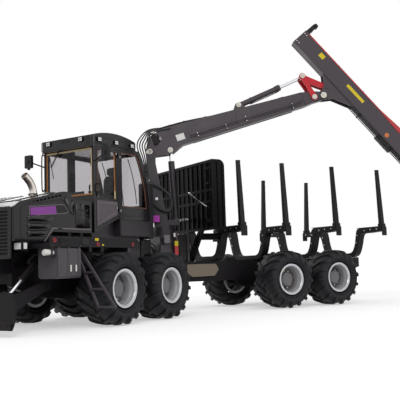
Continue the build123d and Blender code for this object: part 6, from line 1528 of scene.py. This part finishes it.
CAMERA_AT = (7.305, 13.759, 1.015)        # in the rear half's frame
CAMERA_AIM = (-2.139, 0.099, -0.031)      # heading, pitch and roll in radians
FLOOR_HALF = 90.0
FLOOR_LIFT = 0.47                         # light that the paper shows to the camera beside its own
FLOOR_WHITE = (9.0, 26.0)                 # where that light starts to grow and where it is full
LIGHTS = (                                # name, place, what it aims at, watts, width
    ("key", (9.0, 14.0, 11.0), (0.0, 0.0, 1.5), 760.0, 7.0),
    ("fill", (-8.0, 12.0, 8.0), (0.0, 0.0, 1.5), 380.0, 7.0),
    ("rim", (2.0, -12.0, 9.0), (0.0, 0.0, 2.0), 320.0, 6.0),
)


def seen(tree):
    """1 for rays from the camera, also by way of glass or a shiny face, and 0 for the rest."""
    rays = add(tree, "ShaderNodeLightPath").outputs
    direct = compute(tree, "MAXIMUM", rays["Is Camera Ray"], rays["Is Glossy Ray"])
    return compute(tree, "MAXIMUM", direct, rays["Is Transmission Ray"])


class FORWARDER_OT_stage(bpy.types.Operator):
    """Makes the pale floor, the white surroundings, the soft lights and the camera"""

    bl_idname = "forwarder.stage"
    bl_label = "Stage"

    def execute(self, context):
        self.camera(context.scene)
        self.floor(context.scene)
        self.surroundings(context.scene)
        self.lights(context.scene)
        context.scene.view_settings.view_transform = "Standard"
        return {"FINISHED"}

    def camera(self, scene):
        """The camera of the photo, from its heading, pitch and roll."""
        heading, pitch, roll = CAMERA_AIM
        level = math.cos(pitch)
        ahead = np.array([math.cos(heading) * level, math.sin(heading) * level, math.sin(pitch)])
        right = np.array([math.sin(heading), -math.cos(heading), 0.0])
        up = np.cross(right, ahead)
        aim = np.eye(4)
        aim[:3, 0] = math.cos(roll) * right + math.sin(roll) * up
        aim[:3, 1] = -math.sin(roll) * right + math.cos(roll) * up
        aim[:3, 2] = -ahead
        aim[:3, 3] = at(REAR, CAMERA_AT)
        camera = bpy.data.objects.new("camera", bpy.data.cameras.new("camera"))
        camera.data.lens = scene.forwarder_sizes.lens
        camera.data.sensor_width = 36.0
        camera.data.clip_end = 300.0
        camera.matrix_world = Matrix(aim.tolist())
        scene.collection.objects.link(camera)
        scene.camera = camera

    def floor(self, scene):
        """Matt studio paper: pale, softly uneven, and whiter to the camera further out."""
        material, tree, place = new_material("studio_paper")
        paper = add(tree, "ShaderNodeBsdfDiffuse",
                    {"Color": blend_colours(tree, noise(tree, place, 900.0), "#DEDEDE",
                                            "#E4E4E4")}).outputs["BSDF"]
        far = spread(tree, vector_sum(tree, "LENGTH", "Value", place), FLOOR_LIFT, 1.0, *FLOOR_WHITE)
        lift = add(tree, "ShaderNodeEmission", {
            "Color": (1, 1, 1, 1), "Strength": compute(tree, "MULTIPLY", seen(tree), far)})
        both = add(tree, "ShaderNodeAddShader", {0: paper, 1: lift.outputs["Emission"]})
        surface(tree, both.outputs["Shader"])
        mesh = bpy.data.meshes.new("floor")
        edge = FLOOR_HALF
        mesh.from_pydata([(-edge, -edge, 0), (edge, -edge, 0), (edge, edge, 0), (-edge, edge, 0)],
                         [], [(0, 1, 2, 3)])
        floor = bpy.data.objects.new("floor", mesh)
        floor.data.materials.append(material)
        scene.collection.objects.link(floor)

    def surroundings(self, scene):
        """A white world, half as strong to the rays that light the machine."""
        world = bpy.data.worlds.new("studio")
        world.use_nodes = True
        scene.world = world
        tree = world.node_tree
        tree.nodes.clear()
        light = add(tree, "ShaderNodeBackground", {
            "Color": (1, 1, 1, 1), "Strength": spread(tree, seen(tree), 0.5, 1.0)})
        add(tree, "ShaderNodeOutputWorld", {"Surface": light.outputs["Background"]})

    def lights(self, scene):
        """The soft lights, each turned to what it aims at."""
        for name, place, target, watts, width in LIGHTS:
            lamp = bpy.data.objects.new(name, bpy.data.lights.new(name, "AREA"))
            lamp.data.energy = watts
            lamp.data.size = width
            lamp.location = place
            direction = np.array(target) - np.array(place)
            lamp.rotation_mode = "QUATERNION"
            lamp.rotation_quaternion = Vector(direction).to_track_quat("-Z", "Y")
            scene.collection.objects.link(lamp)


class FORWARDER_PT_panel(bpy.types.Panel):
    """Lists the forwarder's sizes, colours and pieces"""

    bl_idname = "FORWARDER_PT_panel"
    bl_label = "Forestry forwarder"
    bl_space_type = "VIEW_3D"
    bl_region_type = "UI"
    bl_category = "Forwarder"

    def draw(self, context):
        for group in (context.scene.forwarder_sizes, context.scene.forwarder_colours):
            for key in group.__annotations__:
                self.layout.prop(group, key)
        for operator in OPERATORS:
            self.layout.operator(operator.bl_idname)


OPERATORS = (
    FORWARDER_OT_materials,
    FORWARDER_OT_tyres,
    FORWARDER_OT_rims,
    FORWARDER_OT_cab,
    FORWARDER_OT_seat,
    FORWARDER_OT_hood,
    FORWARDER_OT_walkways,
    FORWARDER_OT_front_end,
    FORWARDER_OT_column,
    FORWARDER_OT_main_boom,
    FORWARDER_OT_jib,
    FORWARDER_OT_gate,
    FORWARDER_OT_bunks,
    FORWARDER_OT_pivot_hoses,
    FORWARDER_OT_stage,
)
CLASSES = (ForwarderSizes, ForwarderColours, *OPERATORS, FORWARDER_PT_panel)


def register():
    """Registers the classes and puts the sizes and colours on the scene."""
    for cls in CLASSES:
        bpy.utils.register_class(cls)
    bpy.types.Scene.forwarder_sizes = bpy.props.PointerProperty(type=ForwarderSizes)
    bpy.types.Scene.forwarder_colours = bpy.props.PointerProperty(type=ForwarderColours)


def unregister():
    """Takes the sizes, colours and classes away again."""
    del bpy.types.Scene.forwarder_colours
    del bpy.types.Scene.forwarder_sizes
    for cls in reversed(CLASSES):
        bpy.utils.unregister_class(cls)


def main():
    """Builds everything in order."""
    register()
    for operator in OPERATORS:
        group, name = operator.bl_idname.split(".")
        getattr(getattr(bpy.ops, group), name)()


if __name__ == "__main__":
    main()
